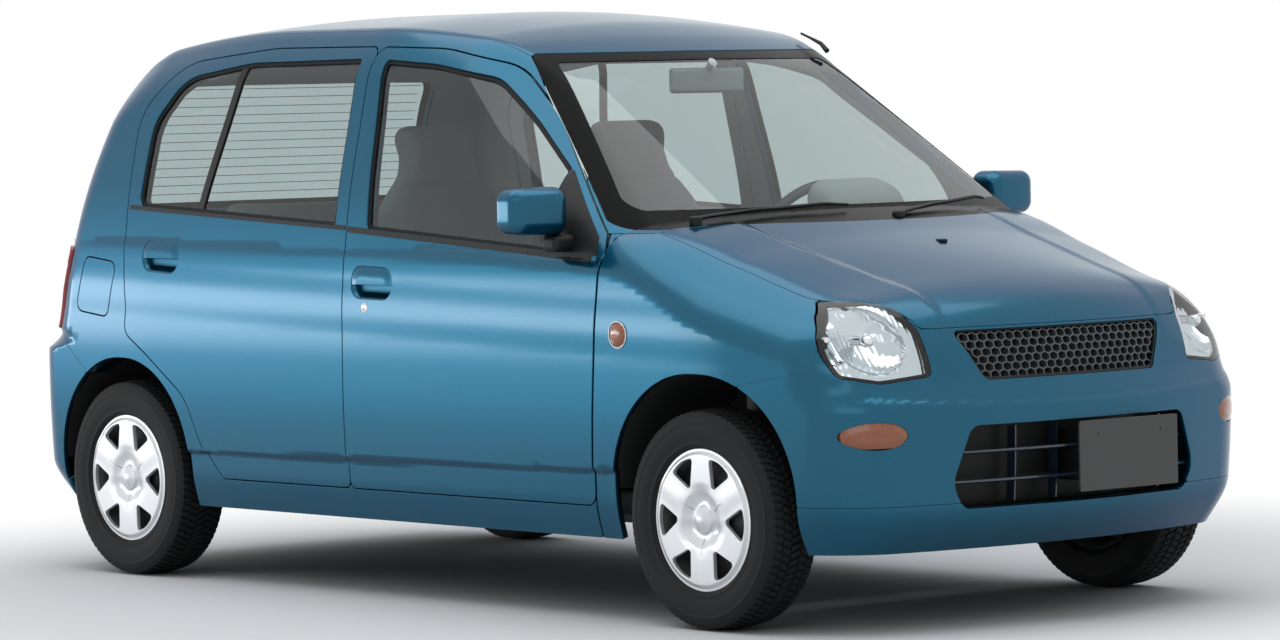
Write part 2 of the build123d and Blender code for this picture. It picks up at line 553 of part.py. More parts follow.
# ---- inside the cabin ------------------------------------------------------
rear_floor_front_x = -700.0
rear_floor_rear_x = rear_tip + 140.0
firewall_x = 790.0
firewall_thickness = 22.0
floor = block(rear_floor_front_x, firewall_x - seat_gap, -660.0, 0.0, floor_top - floor_thickness, floor_top)
riser = block(rear_floor_front_x - floor_thickness, rear_floor_front_x, -660.0, 0.0,
              floor_top - floor_thickness, rear_floor_top)
floor = (floor + riser) & lower_volume(138.0 + seat_gap, -20.0)
floor = floor - block(front_arch[0] - arch_wall - seat_gap, far, -far, seat_gap - wheelhouse_wall_y, 0.0, far)
tunnel = block(-470.0, firewall_x - seat_gap, -85.0, 0.0, floor_top - 1.0, floor_top + 70.0)
rear_floor = block(rear_floor_rear_x, rear_floor_front_x, seat_gap - wheelhouse_inner_y, 0.0,
                   rear_floor_top - floor_thickness, rear_floor_top)
keep("floor_pan", whole(floor + tunnel + rear_floor))
firewall = block(firewall_x, firewall_x + firewall_thickness, 0.3 - wheelhouse_wall_y, wheelhouse_wall_y - 0.3,
                 floor_top - floor_thickness, 850.0)
firewall = firewall + block(firewall_x, firewall_x + firewall_thickness, -560.0, 560.0, 640.0, 850.0)
keep("firewall", largest(firewall))

dash_outline = [(470.0, 640.0, 30.0), (440.0, 820.0, 60.0), (560.0, 905.0, 60.0), (780.0, 912.0, 10.0),
                (780.0, 640.0, 10.0)]
dash_half = 578.0
wheel_centre = (330.0, 330.0, 860.0)     # steering wheel hub
column_tilt = 27.0                       # column angle above horizontal
hood_of_dials = side_prism([(470.0, 880.0, 15.0), (500.0, 960.0, 30.0), (600.0, 950.0, 30.0), (640.0, 890.0, 5.0)],
                           190.0, 470.0)
dash = side_prism(dash_outline, -dash_half, dash_half) + hood_of_dials
column_dir = Vector(math.cos(math.radians(column_tilt)), 0, -math.sin(math.radians(column_tilt)))
hub = Vector(*wheel_centre)
dash = dash + block(500.0, 700.0, -110.0, 110.0, floor_top + 70.0 + seat_gap, 650.0)
dash = dash + Solid.make_cylinder(38.0, 160.0, Plane(hub + column_dir * 60.0, z_dir=column_dir))
keep("dashboard", dash)
wheel_plane = Plane(hub, x_dir=(0, 1, 0), z_dir=column_dir)
rim = Solid.make_torus(182.0, 14.0, wheel_plane)
boss = Solid.make_cylinder(62.0, 34.0, wheel_plane)
bar = Box(352.0, 42.0, 14.0)
bar = wheel_plane.location * bar
shaft_start = hub + column_dir * 20.0
shaft = Solid.make_cylinder(17.0, 40.0 - seat_gap, Plane(shaft_start, z_dir=column_dir))
keep("steering_wheel", largest(rim + boss + bar.solids()[0] + shaft))

seat_width = 480.0
seat_y = 330.0
seat_outline = [(-330.0, floor_top + 0.3, 0), (110.0, floor_top + 0.3, 0), (150.0, 470.0, 40.0), (110.0, 545.0, 50.0),
                (-170.0, 500.0, 60.0), (-310.0, 1000.0, 200.0), (-335.0, 1215.0, 45.0), (-420.0, 1215.0, 45.0),
                (-420.0, 1000.0, 200.0), (-330.0, 480.0, 60.0)]
front_seat = side_prism(seat_outline, -seat_y - seat_width / 2, -seat_y + seat_width / 2)
keep("front_seats", front_seat, mirrored(front_seat))
bench_half = 540.0
bench_outline = [(-678.0, floor_top + 0.3, 0), (-500.0, floor_top + 0.3, 0), (-490.0, 480.0, 50.0), (-540.0, 560.0, 60.0),
                 (-860.0, 525.0, 60.0), (-1010.0, 1010.0, 60.0), (-1100.0, 1010.0, 60.0), (-960.0, 500.0, 60.0),
                 (-930.0, rear_floor_top + 0.3, 0), (-678.0, rear_floor_top + 0.3, 0)]
keep("rear_bench", side_prism(bench_outline, -bench_half, bench_half))
mirror_face = front_prism([(-125.0, 1262.0, 30.0), (125.0, 1262.0, 30.0), (125.0, 1330.0, 30.0), (-125.0, 1330.0, 30.0)],
                          318.0, 342.0)
mirror_stem = tube_between((330.0, 0.0, 1325.0), (390.0, 0.0, 1367.0), 7.0) & upper_volume(8.0 + seat_gap)
keep("interior_mirror", largest(mirror_face + mirror_stem + mirrored(mirror_stem)))

# door mirrors
mirror_outline = [(-882.0, 938.0, 35.0), (-874.0, 1046.0, 40.0), (-738.0, 1048.0, 25.0), (-735.0, 925.0, 20.0)]
door_mirror = front_prism(mirror_outline, 533.0, 640.0) + block(575.0, 636.0, -760.0, -650.0, 886.0, 930.0)
door_mirror = largest(door_mirror - (lower_volume(-seat_gap, -seat_gap) & below_belt) - upper_volume(-seat_gap))
pair_of("door_mirror", door_mirror)

# wipers lie on the cowl
wiper_rows = [((872.0, -520.0, 966.0), (914.0, -60.0, 990.0)), ((967.0, 60.0, 962.0), (845.0, 470.0, 990.0))]
keep("wipers", *[tube_between(a, b, 7.0) + cylinder_z(a[0], a[1], cowl_top + seat_gap, a[2], 6.0)
                 for a, b in wiper_rows])

# ---- engine bay and underside ----------------------------------------------
engine = block(900.0, 1380.0, seat_gap - 340.0, 300.0, 330.0, 690.0)
keep("engine_block", engine)
kingpin_y = 600.0
subframe_z = 215.0
subframe = block(930.0, 1010.0, -400.0, 400.0, subframe_z, subframe_z + 50.0)
mount_posts = [block(930.0, 990.0, y - 30.0, y + 30.0, subframe_z + 49.0, 420.0) for y in (-370.0, 370.0)]
ball_z = 207.0
arms = [tube_between((1000.0, side * 380.0, subframe_z + 25.0), (front_axle_x, side * kingpin_y, ball_z - 22.0), 14.0)
        for side in (-1.0, 1.0)]
arms += [cylinder_z(front_axle_x, side * kingpin_y, ball_z - 32.0, ball_z - 0.3, 18.0) for side in (-1.0, 1.0)]
frame = subframe
for piece in mount_posts + arms:
    frame = frame + piece
for side in (-1.0, 1.0):
    frame = frame + block(firewall_x + firewall_thickness, 1500.0, side * 380.0 - 22.0, side * 380.0 + 22.0, 400.0, 480.0)
keep("front_subframe", largest(frame))
tank = block(-880.0, -560.0, -420.0, 230.0, 160.0 + 30.0, floor_top - floor_thickness - seat_gap)
keep("fuel_tank", tank)
pipe_z = 203.0
muffler = Solid.make_cylinder(62.0, 420.0, Plane((-1470.0, 60.0, 258.0), z_dir=(0, 1, 0)))
tail_pipe = tube_between((-1470.0, 90.0, 205.0), (-1660.0, 90.0, 188.0), 17.0)
front_pipe = tube_between((900.0, 60.0, pipe_z), (-880.0, 340.0, pipe_z), 20.0)
rear_pipe = tube_between((-880.0, 340.0, pipe_z), (-1450.0, 340.0, pipe_z), 20.0)
keep("exhaust", largest(muffler + tail_pipe + front_pipe + rear_pipe))

# ---- running gear ----------------------------------------------------------
pin_radius = 18.0
pin_fit = 0.05
wheel_rows = [("front_right", front_axle_x, -1.0), ("front_left", front_axle_x, 1.0),
              ("rear_right", rear_axle_x, -1.0), ("rear_left", rear_axle_x, 1.0)]
half_tyre = tyre_width / 2


def turned(rows, x, z, side):
    """Solid of revolution about the axle from (offset along axle, radius, corner) rows."""
    face = outline_face([(o, r, c) for o, r, c in rows], lambda o, r: Vector(x, side * (track_half + o), z + r))
    return Solid.revolve(face, 360.0, Axis((x, 0, z), (0, 1, 0)))


def spoke_window(x, z, angle):
    """Opening between two spokes of a wheel cover, from (radius, half angle in degrees) rows."""
    corners = [(82.0, -6.0), (136.0, -20.0), (136.0, 20.0), (82.0, 6.0)]
    turns = [(radius, angle + math.radians(offset)) for radius, offset in corners]
    return [(x + radius * math.cos(turn), z + radius * math.sin(turn), 6.0) for radius, turn in turns]


for name, x, side in wheel_rows:
    z = tyre_radius
    tyre_rows = [(-half_tyre + 12.0, rim_radius, 0), (-half_tyre, rim_radius + 45.0, 0),
                 (-half_tyre + 10.0, tyre_radius, 0), (half_tyre - 10.0, tyre_radius, 0),
                 (half_tyre, rim_radius + 45.0, 0), (half_tyre - 12.0, rim_radius, 0)]
    keep("tyre_" + name, turned(tyre_rows, x, z, side))
    rim_rows = [(-half_tyre + 14.0, rim_radius - 0.3, 0), (-half_tyre + 14.0, rim_radius - 18.0, 0),
                (32.0, rim_radius - 22.0, 0), (32.0, 40.0, 0), (18.0, 36.0, 0), (18.0, pin_radius + pin_fit, 0),
                (42.0, pin_radius + pin_fit, 0), (42.0, 6.0, 0), (76.0, 6.0, 0), (76.0, 28.0, 0), (68.0, 34.0, 0),
                (58.0, 70.0, 0), (60.0, rim_radius - 26.0, 0), (half_tyre - 10.0, rim_radius - 0.3, 0)]
    wheel = turned(rim_rows, x, z, side)
    for opening in range(6):
        wheel = wheel - side_prism(spoke_window(x, z, math.radians(60.0 * opening)), side * (track_half + 10.0),
                                   side * (track_half + 90.0))
    keep("wheel_" + name, largest(wheel))

for name, side in (("right", -1.0), ("left", 1.0)):
    z = tyre_radius
    upright = cylinder_y(front_axle_x, side * 530.0, side * 640.0, z, 44.0)
    stub = cylinder_y(front_axle_x, side * 620.0, side * (track_half + 40.0), z, pin_radius)
    strut = tube_between((front_axle_x, side * 545.0, z), (front_axle_x, side * 545.0, 560.0), 20.0)
    ball = cylinder_z(front_axle_x, side * kingpin_y, ball_z, z, 16.0)
    keep("knuckle_" + name, largest(upright + stub + strut + ball))

beam = cylinder_y(rear_axle_x, -600.0, 600.0, tyre_radius, 30.0)
for side in (-1.0, 1.0):
    beam = beam + cylinder_y(rear_axle_x, side * 560.0, side * (track_half + 40.0), tyre_radius, pin_radius)
    beam = beam + tube_between((rear_axle_x, side * 500.0, tyre_radius), (-900.0, side * 500.0, 250.0), 22.0)
keep("rear_axle", largest(beam))

os.makedirs("parts", exist_ok=True)
for name, shape in nodes.items():
    export_step(shape, f"parts/{name}.step")
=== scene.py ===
import math

import bpy
import numpy as np
from mathutils import Matrix, Vector


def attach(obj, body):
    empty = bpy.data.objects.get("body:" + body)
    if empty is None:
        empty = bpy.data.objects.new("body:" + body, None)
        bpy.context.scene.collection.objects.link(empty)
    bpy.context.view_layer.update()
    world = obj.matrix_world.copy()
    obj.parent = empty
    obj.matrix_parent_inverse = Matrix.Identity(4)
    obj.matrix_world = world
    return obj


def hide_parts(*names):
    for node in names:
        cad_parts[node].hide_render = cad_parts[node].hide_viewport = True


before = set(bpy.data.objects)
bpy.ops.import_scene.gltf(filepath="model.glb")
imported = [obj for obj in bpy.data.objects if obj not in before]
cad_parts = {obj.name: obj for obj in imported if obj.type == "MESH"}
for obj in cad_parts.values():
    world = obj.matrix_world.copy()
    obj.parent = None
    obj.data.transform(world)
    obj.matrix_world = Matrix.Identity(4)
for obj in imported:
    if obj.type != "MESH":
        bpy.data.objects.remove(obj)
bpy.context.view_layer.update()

bl_info = {
    "name": "Small five-door hatchback",
    "version": (1, 0, 0),
    "blender": (4, 5, 0),
    "location": "View3D > Sidebar > Hatchback",
    "description": "Dresses the packed hatchback with body panels, glass, lamps, wheels and an interior",
    "category": "Object",
}

MM = 0.001
SIDES = (("left", False), ("right", True))      # the name of a side and whether it is the mirrored one


def colour(hex_code, alpha=1.0):
    """sRGB hex to the linear values that shaders use."""
    channels = [int(hex_code[i:i + 2], 16) / 255 for i in (1, 3, 5)]
    return tuple(c / 12.92 if c <= 0.04045 else ((c + 0.055) / 1.055) ** 2.4 for c in channels) + (alpha,)


class HatchbackSizes(bpy.types.PropertyGroup):
    """Lengths and counts that a user would change."""
    skin_cell: bpy.props.FloatProperty(
        name="Skin cell", description="Spacing of the points of the body skin before it is cut into panels",
        default=0.015, min=0.008, max=0.03, unit="LENGTH", subtype="DISTANCE")
    shut_line: bpy.props.FloatProperty(
        name="Shut line", description="Width of the gap round doors, hood and fuel lid",
        default=0.0048, min=0.002, max=0.008, unit="LENGTH", subtype="DISTANCE")
    seam: bpy.props.FloatProperty(
        name="Seam", description="Width of the joint between two fixed panels",
        default=0.0022, min=0.001, max=0.004, unit="LENGTH", subtype="DISTANCE")
    door_wall: bpy.props.FloatProperty(
        name="Door wall", description="Thickness of the doors and body sides below the belt line",
        default=0.075, min=0.02, max=0.09, unit="LENGTH", subtype="DISTANCE")
    frame_wall: bpy.props.FloatProperty(
        name="Window frame wall", description="Thickness of the window frames and pillars",
        default=0.036, min=0.015, max=0.05, unit="LENGTH", subtype="DISTANCE")
    honeycomb_pitch: bpy.props.FloatProperty(
        name="Honeycomb pitch", description="Distance between cells along a row of the grille",
        default=0.027, min=0.02, max=0.04, unit="LENGTH", subtype="DISTANCE")
    heater_lines: bpy.props.IntProperty(
        name="Heater lines", description="Printed lines across the tailgate glass", default=13, min=1, max=13)


class HatchbackShades(bpy.types.PropertyGroup):
    """Colours that a user would change."""
    paint_dark: bpy.props.FloatVectorProperty(
        name="Paint, dark flake", description="Darker colour of the metallic lacquer",
        default=colour("#05455b"), size=4, min=0.0, max=1.0, subtype="COLOR")
    paint_light: bpy.props.FloatVectorProperty(
        name="Paint, light flake", description="Lighter colour of the metallic lacquer",
        default=colour("#0e607d"), size=4, min=0.0, max=1.0, subtype="COLOR")
    glass: bpy.props.FloatVectorProperty(
        name="Glass", description="Tint of the window panes",
        default=colour("#e2e8e8"), size=4, min=0.0, max=1.0, subtype="COLOR")
    cloth_dark: bpy.props.FloatVectorProperty(
        name="Cloth, dark thread", description="Darker thread of the seat cloth",
        default=colour("#84898a"), size=4, min=0.0, max=1.0, subtype="COLOR")
    cloth_light: bpy.props.FloatVectorProperty(
        name="Cloth, light thread", description="Lighter thread of the seat cloth",
        default=colour("#a9adad"), size=4, min=0.0, max=1.0, subtype="COLOR")


def sizes():
    """The lengths and counts in use."""
    return bpy.context.scene.hatchback_sizes


def shades():
    """The colours in use."""
    return bpy.context.scene.hatchback_shades


def millimetres(metres):
    """A length of the settings in the millimetres that the shapes are worked out in."""
    return round(metres / MM, 3)


def shut_half():
    """Half the gap round what opens, in millimetres."""
    return millimetres(sizes().shut_line) / 2.0


def joint_half():
    """Half the joint between fixed panels, in millimetres."""
    return millimetres(sizes().seam) / 2.0


# ---------------------------------------------------------------------------
# The body surface. Millimetres; +X forward, +Y left, +Z up. The rows repeat
# the part's own level and station tables.
# ---------------------------------------------------------------------------
HALF_LENGTH = 1697.5
HALF_WIDTH = 737.5
NOSE = HALF_LENGTH - 33.0
TAIL = -HALF_LENGTH
FRONT_AXLE = 1100.0
REAR_AXLE = -1240.0
AXLE_HEIGHT = 262.0
TRACK_HALF = 652.0
SILL_BOTTOM = 200.0

# columns: height, nose x, tail x, half width
LOWER_LEVELS = np.array([
    (150.0, NOSE - 95.0, TAIL + 100.0, HALF_WIDTH - 42.0),
    (300.0, NOSE - 8.0, TAIL, HALF_WIDTH - 8.0),
    (515.0, NOSE, TAIL, HALF_WIDTH),
    (600.0, NOSE - 36.0, TAIL, HALF_WIDTH - 0.5),
    (655.0, NOSE - 50.0, TAIL + 58.0, HALF_WIDTH - 1.5),
    (820.0, NOSE - 91.0, TAIL + 101.0, HALF_WIDTH - 9.0),
    (1010.0, NOSE - 136.0, TAIL + 153.0, HALF_WIDTH - 34.0),
])
# columns: height, windshield x on the centreline, tail x, half width, half width at the front pillar
UPPER_LEVELS = np.array([
    (820.0, 1132.0, TAIL + 101.0, HALF_WIDTH - 9.0, HALF_WIDTH - 24.0),
    (1010.0, 853.0, TAIL + 153.0, HALF_WIDTH - 34.0, HALF_WIDTH - 56.0),
    (1240.0, 515.0, TAIL + 244.0, HALF_WIDTH - 83.0, HALF_WIDTH - 137.0),
    (1375.0, 316.0, TAIL + 340.0, HALF_WIDTH - 112.0, HALF_WIDTH - 187.0),
    (1560.0, 44.0, TAIL + 500.0, HALF_WIDTH - 152.0, HALF_WIDTH - 256.0),
])
# columns: x, centre height, y of the shoulder line, shoulder height
HOOD_STATIONS = np.array([
    (-1800.0, 1010.0, 640.0, 1005.0),
    (760.0, 1000.0, 640.0, 950.0),
    (1100.0, 915.0, 600.0, 858.0),
    (1362.0, 846.0, 573.0, 775.0),
    (1463.0, 812.0, 530.0, 758.0),
    (1527.0, 781.0, 470.0, 722.0),
    (1592.0, 722.0, 400.0, 678.0),
    (1760.0, 300.0, 400.0, 260.0),
])
# columns: x, centre height, y of the roof edge, height of the roof edge
ROOF_STATIONS = np.array([
    (-1760.0, 1120.0, 548.0, 1090.0),
    (-1335.0, 1398.0, 548.0, 1365.0),
    (-1200.0, 1448.0, 548.0, 1410.0),
    (-700.0, 1486.0, 548.0, 1447.0),
    (-330.0, 1486.0, 548.0, 1446.0),
    (50.0, 1454.0, 516.0, 1416.0),
    (330.0, 1374.0, 468.0, 1338.0),
    (1100.0, 1120.0, 400.0, 1080.0),
])
NOSE_BOW = 2100.0
NOSE_LEAN = math.radians(13.0)
GLASS_BOW = 1450.0
TAIL_BOW = 7000.0
WIDEST_X = -250.0
BELT_FRONT = (820.0, 862.0)
BELT_SLOPE = 0.0587
UPPER_BOTTOM = 835.0       # the cabin's own surface starts here, inside the lower body
NEAR_CUT = 20.0            # only triangles this near a cut are halved
FINE_EDGE = 5.0            # edges of the skin net shorter than this are never halved
LIP_HEIGHT = 303.0         # seam between the bumper and its lower lip
SILL_Y = 430.0             # a flank piece keeps only what lies further out than this
SHIELD_X = 150.0           # the windshield's outline counts only in front of this
NOSE_X = 1300.0            # outlines drawn from the front count only in front of this
DOOR_THIN = (650.0, 12.0)      # front doors thin out forward of this x, down to this wall
PILLAR_THIN = (560.0, 14.0)    # body sides thin out forward of this x, down to this wall


def through(table, column, at):
    """Smooth monotone curve through one column of a table, straight beyond its ends."""
    xs, ys = table[:, 0], table[:, column]
    step = np.diff(xs)
    rise = np.diff(ys) / step
    slope = np.zeros_like(ys)
    before, after = rise[:-1], rise[1:]
    same = before * after > 0
    w1, w2 = 2 * step[1:] + step[:-1], step[1:] + 2 * step[:-1]
    safe_before, safe_after = np.where(same, before, 1.0), np.where(same, after, 1.0)
    slope[1:-1] = np.where(same, (w1 + w2) / (w1 / safe_before + w2 / safe_after), 0.0)
    slope[0], slope[-1] = rise[0], rise[-1]
    i = np.clip(np.searchsorted(xs, at) - 1, 0, len(step) - 1)
    t = np.clip((at - xs[i]) / step[i], 0.0, 1.0)
    beyond = at - (xs[i] + t * step[i])
    t2, t3 = t * t, t * t * t
    value = ((2 * t3 - 3 * t2 + 1) * ys[i] + (t3 - 2 * t2 + t) * step[i] * slope[i]
             + (3 * t2 - 2 * t3) * ys[i + 1] + (t3 - t2) * step[i] * slope[i + 1])
    return value + beyond * np.where(t > 0.5, slope[i + 1], slope[i])


def ramp(distance, half_span):
    """0 below zero and the distance above it, with a rounded corner."""
    inner = np.clip(distance, -half_span, half_span)
    return np.where(distance > half_span, distance, (inner + half_span) ** 2 / (4 * half_span))


def bowed(y, radius, lean):
    """How far a bowed face falls back at y; straight once it leans enough."""
    limit = radius * math.sin(lean)
    near = np.minimum(y, limit)
    return radius - np.sqrt(radius * radius - near * near) + np.maximum(y - limit, 0.0) * math.tan(lean)


def round_and(a, b, radius):
    """Inside both, with a rounded outer edge."""
    u, v = np.maximum(a + radius, 0.0), np.maximum(b + radius, 0.0)
    return np.minimum(np.maximum(a, b), -radius) + np.hypot(u, v)


def belt_height(x):
    """Height of the belt line at x."""
    return BELT_FRONT[1] + (BELT_FRONT[0] - x) * BELT_SLOPE


def crown(x, y, table, outer_slope, soft):
    """Height of a crowned top panel."""
    centre, edge_y, edge_z = (through(table, column, x) for column in (1, 2, 3))
    fall = centre - edge_z
    inside = np.minimum(y / edge_y, 1.0)
    edge_slope = 2 * fall / edge_y
    past = np.maximum(y - edge_y, 0.0)
    turned_down = (outer_slope - edge_slope) * ramp(y - edge_y, soft)
    return centre - fall * inside ** 2 - edge_slope * past - turned_down


def body_field(p):
    """Signed distance, roughly, from the painted body skin of the left half; negative inside."""
    x, y, z = p[:, 0], p[:, 1], p[:, 2]
    y = np.abs(y)
    nose, tail, half = (through(LOWER_LEVELS, column, z) for column in (1, 2, 3))
    nose_slope = through(LOWER_LEVELS, 1, z + 1.0) - nose
    tail_slope = through(LOWER_LEVELS, 2, z + 1.0) - tail
    flank = y - half + 0.1495 * ramp(x - FRONT_AXLE, 112.0) + 0.0215 * ramp(REAR_AXLE + 100.0 - x, 60.0)
    flank = flank - flank_forms(x, z)
    front = (x - nose + bowed(y, NOSE_BOW, NOSE_LEAN)) / np.sqrt(1.02 + nose_slope ** 2)
    rear = (tail + bowed(y, TAIL_BOW, 0.5) - x) / np.sqrt(1.0 + tail_slope ** 2)
    hood = (z - crown(x, y, HOOD_STATIONS, 0.78, 45.0)) / 1.12
    hood = hood - hood_forms(x, y)
    front = front - nose_forms(y, z)
    lower = round_and(round_and(flank, front, 135.0), rear, 105.0)
    lower = round_and(lower, hood, 46.0)
    belt = z - belt_height(x) - 3.0 * ramp(x - 736.0, 10.0)
    lower = round_and(lower, belt, 14.0)

    shield, tail, half, pillar = (through(UPPER_LEVELS, column, z) for column in (1, 2, 3, 4))
    shield_slope = through(UPPER_LEVELS, 1, z + 1.0) - shield
    tail_slope = through(UPPER_LEVELS, 2, z + 1.0) - tail
    corner = shield - bowed(pillar, GLASS_BOW, 1.2)
    narrowing = (half - pillar) / (corner - WIDEST_X)
    side = (y - half + narrowing * ramp(x - WIDEST_X, 90.0) + 0.005 * np.maximum(WIDEST_X - x, 0.0)) / 1.03
    glass = (x - shield + bowed(y, GLASS_BOW, 1.2)) / np.sqrt(1.0 + (y / GLASS_BOW) ** 2 + shield_slope ** 2)
    rear = (tail + bowed(y, TAIL_BOW, 0.5) - x) / np.sqrt(1.0 + tail_slope ** 2)
    roof = (z - crown(x, y, ROOF_STATIONS, 1.1, 24.0)) / 1.06
    upper = round_and(round_and(side, glass, 70.0), rear, 100.0)
    upper = np.maximum(round_and(upper, roof, 30.0), UPPER_BOTTOM - z)
    return np.minimum(lower, upper)


def bump(distance, half_width):
    """Smooth hump, 1 at zero and 0 past the half width."""
    t = np.clip(1.0 - (distance / half_width) ** 2, 0.0, 1.0)
    return t * t


def smooth_step(distance, half_width):
    """Smooth rise from 0 to 1 between minus and plus the half width."""
    t = np.clip(distance / half_width * 0.5 + 0.5, 0.0, 1.0)
    return t * t * (3 - 2 * t)


def flank_forms(x, z):
    """Pressed lines of the side: a tucked rocker under the doors and a soft line at shoulder height."""
    tuck = 9.0 * (smooth_step(352.0 + 0.012 * (x + 256.0) - z, 7.0)) * smooth_step(820.0 - x, 60.0)
    tuck = tuck * smooth_step(x + 1200.0, 60.0)
    shoulder = 2.5 * bump(z - 735.0 + 0.03 * x, 75.0)
    return shoulder * 0.6 - tuck


def hood_forms(x, y):
    """Two creases that run down the hood towards the inner corners of the headlamps."""
    crease_y = 372.0 + (1340.0 - x) * 0.10
    inner = 4.5 * smooth_step(y - crease_y, 14.0) * smooth_step(x - 900.0, 120.0)
    return inner * smooth_step(1640.0 - x, 60.0)


def nose_forms(y, z):
    """The lip that runs across the nose above the air opening, and the recess round the grille."""
    centre_z = 520.0 + 16.0 * (y / 503.0) ** 2
    return -4.0 * smooth_step(z - centre_z - 8.0, 6.0) * smooth_step(centre_z + 60.0 - z, 40.0)


def gradient(field, p, reach=0.5):
    """Slope of a field along the three axes."""
    slopes = []
    for axis in range(3):
        step = np.zeros(3)
        step[axis] = reach
        slopes.append((field(p + step) - field(p - step)) / (2 * reach))
    return np.stack(slopes, axis=1)


def onto(field, p, rounds):
    """Moves points along the slope of a field until it reads zero."""
    for _ in range(rounds):
        slope = gradient(field, p)
        size = np.maximum((slope ** 2).sum(axis=1), 0.05)
        move = -(field(p) / size)[:, None] * slope
        length = np.linalg.norm(move, axis=1, keepdims=True)
        p = p + move * np.minimum(1.0, 12.0 / np.maximum(length, 1e-9))
    return p


def slid(points, axis, sign=1.0, rounds=12, limit=30.0):
    """Moves points along one axis onto the body skin; sign is the way that leads out of the body."""
    step = np.zeros(3)
    step[axis] = 0.5 * sign
    for _ in range(rounds):
        value = body_field(points)
        slope = (body_field(points + step) - value) / 0.5
        points[:, axis] -= sign * np.clip(value / np.maximum(slope, 0.25), -limit, limit)
    return points


def nose_x(y, z):
    """Forward reach of the nose at rows of distances from the middle and heights."""
    places = np.stack([np.full(len(y), NOSE - 60.0), np.asarray(y, float), np.asarray(z, float)], axis=1)
    return slid(places, 0)[:, 0]


def tail_x(y, z):
    """Rearmost reach of the skin at one place on the tail."""
    return float(slid(np.array([(TAIL + 60.0, abs(y), z)], float), 0, -1.0, 14)[0, 0])


def side_y(x, z):
    """Half width of the skin at one place."""
    return float(slid(np.array([(x, HALF_WIDTH, z)], float), 1, limit=np.inf)[0, 1])


def hood_z(x, y):
    """Height of the hood at one place."""
    return float(slid(np.array([(x, abs(y), 960.0)], float), 2, limit=np.inf)[0, 2])


def body_net(spacing):
    """Even triangle net over the left half of the body skin."""
    low = (TAIL - 20.0, -2.5 * spacing, 150.0)
    high = (HALF_LENGTH + 10.0, HALF_WIDTH + 20.0, 1510.0)
    axes = [np.arange(a, b, spacing) for a, b in zip(low, high)]
    grid = np.stack(np.meshgrid(*axes, indexing="ij"), axis=-1)
    inside = (body_field(grid.reshape(-1, 3)) < 0).reshape(grid.shape[:3])
    cells = np.array(inside.shape) - 1
    count = np.zeros(cells, int)
    for i in (0, 1):
        for j in (0, 1):
            for k in (0, 1):
                count += inside[i:i + cells[0], j:j + cells[1], k:k + cells[2]]
    active = (count > 0) & (count < 8)
    index = np.full(cells, -1)
    index[active] = np.arange(active.sum())
    points = grid[:-1, :-1, :-1][active] + spacing / 2
    quads = []
    for axis in range(3):
        u, v = (axis + 1) % 3, (axis + 2) % 3
        first = np.take(inside, range(cells[axis]), axis=axis)
        second = np.take(inside, range(1, cells[axis] + 1), axis=axis)
        at = np.argwhere(first != second)
        keep = (at[:, u] >= 1) & (at[:, v] >= 1) & (at[:, u] < cells[u]) & (at[:, v] < cells[v])
        at = at[keep]
        corners = []
        for du, dv in ((1, 1), (0, 1), (0, 0), (1, 0)):
            cell = at.copy()
            cell[:, u] -= du
            cell[:, v] -= dv
            corners.append(index[cell[:, 0], cell[:, 1], cell[:, 2]])
        quad = np.stack(corners, axis=1)
        outward = first[at[:, 0], at[:, 1], at[:, 2]]
        quads.append(np.where(outward[:, None], quad, quad[:, ::-1]))
    quads = np.concatenate(quads)
    points = onto(body_field, points, 3)
    for _ in range(3):
        total = np.zeros_like(points)
        share = np.zeros(len(points))
        for a in range(4):
            np.add.at(total, quads[:, a], points[quads[:, (a + 1) % 4]] + points[quads[:, a - 1]])
            np.add.at(share, quads[:, a], 2.0)
        middle = total / np.maximum(share, 1.0)[:, None]
        slope = gradient(body_field, points)
        slope /= np.linalg.norm(slope, axis=1, keepdims=True)
        shift = middle - points
        shift -= (shift * slope).sum(axis=1, keepdims=True) * slope
        points = onto(body_field, points + 0.5 * shift, 1)
    first = np.linalg.norm(points[quads[:, 0]] - points[quads[:, 2]], axis=1)
    second = np.linalg.norm(points[quads[:, 1]] - points[quads[:, 3]], axis=1)
    short = (first <= second)[:, None]
    one = np.where(short, quads[:, [0, 1, 2]], quads[:, [0, 1, 3]])
    two = np.where(short, quads[:, [0, 2, 3]], quads[:, [1, 2, 3]])
    return points, np.concatenate([one, two])


# ---------------------------------------------------------------------------
# Outlines of the panels: rows of (u, v, corner radius), as in the part.
# ---------------------------------------------------------------------------
def rounded(rows, bit=5.0):
    """Points along a closed outline with its corners rounded."""
    points = []
    count = len(rows)
    for i, (u, v, r) in enumerate(rows):
        here = np.array((u, v))
        before = np.array(rows[i - 1][:2]) - here
        after = np.array(rows[(i + 1) % count][:2]) - here
        la, lb = np.linalg.norm(before), np.linalg.norm(after)
        before, after = before / la, after / lb
        half = math.acos(max(-1.0, min(1.0, float(before @ after)))) / 2
        if r <= 0 or half > math.pi / 2 - 1e-4:
            points.append(here)
            continue
        back = min(r / math.tan(half), 0.49 * la, 0.49 * lb)
        radius = back * math.tan(half)
        middle = here + (before + after) / np.linalg.norm(before + after) * radius / math.sin(half)
        start, end = here + before * back - middle, here + after * back - middle
        sweep = math.atan2(start[0] * end[1] - start[1] * end[0], start @ end)
        steps = max(3, int(abs(sweep) * radius / bit) + 1)
        for k in range(steps + 1):
            c, s = math.cos(sweep * k / steps), math.sin(sweep * k / steps)
            points.append(middle + (c * start[0] - s * start[1], s * start[0] + c * start[1]))
    return np.array(points)


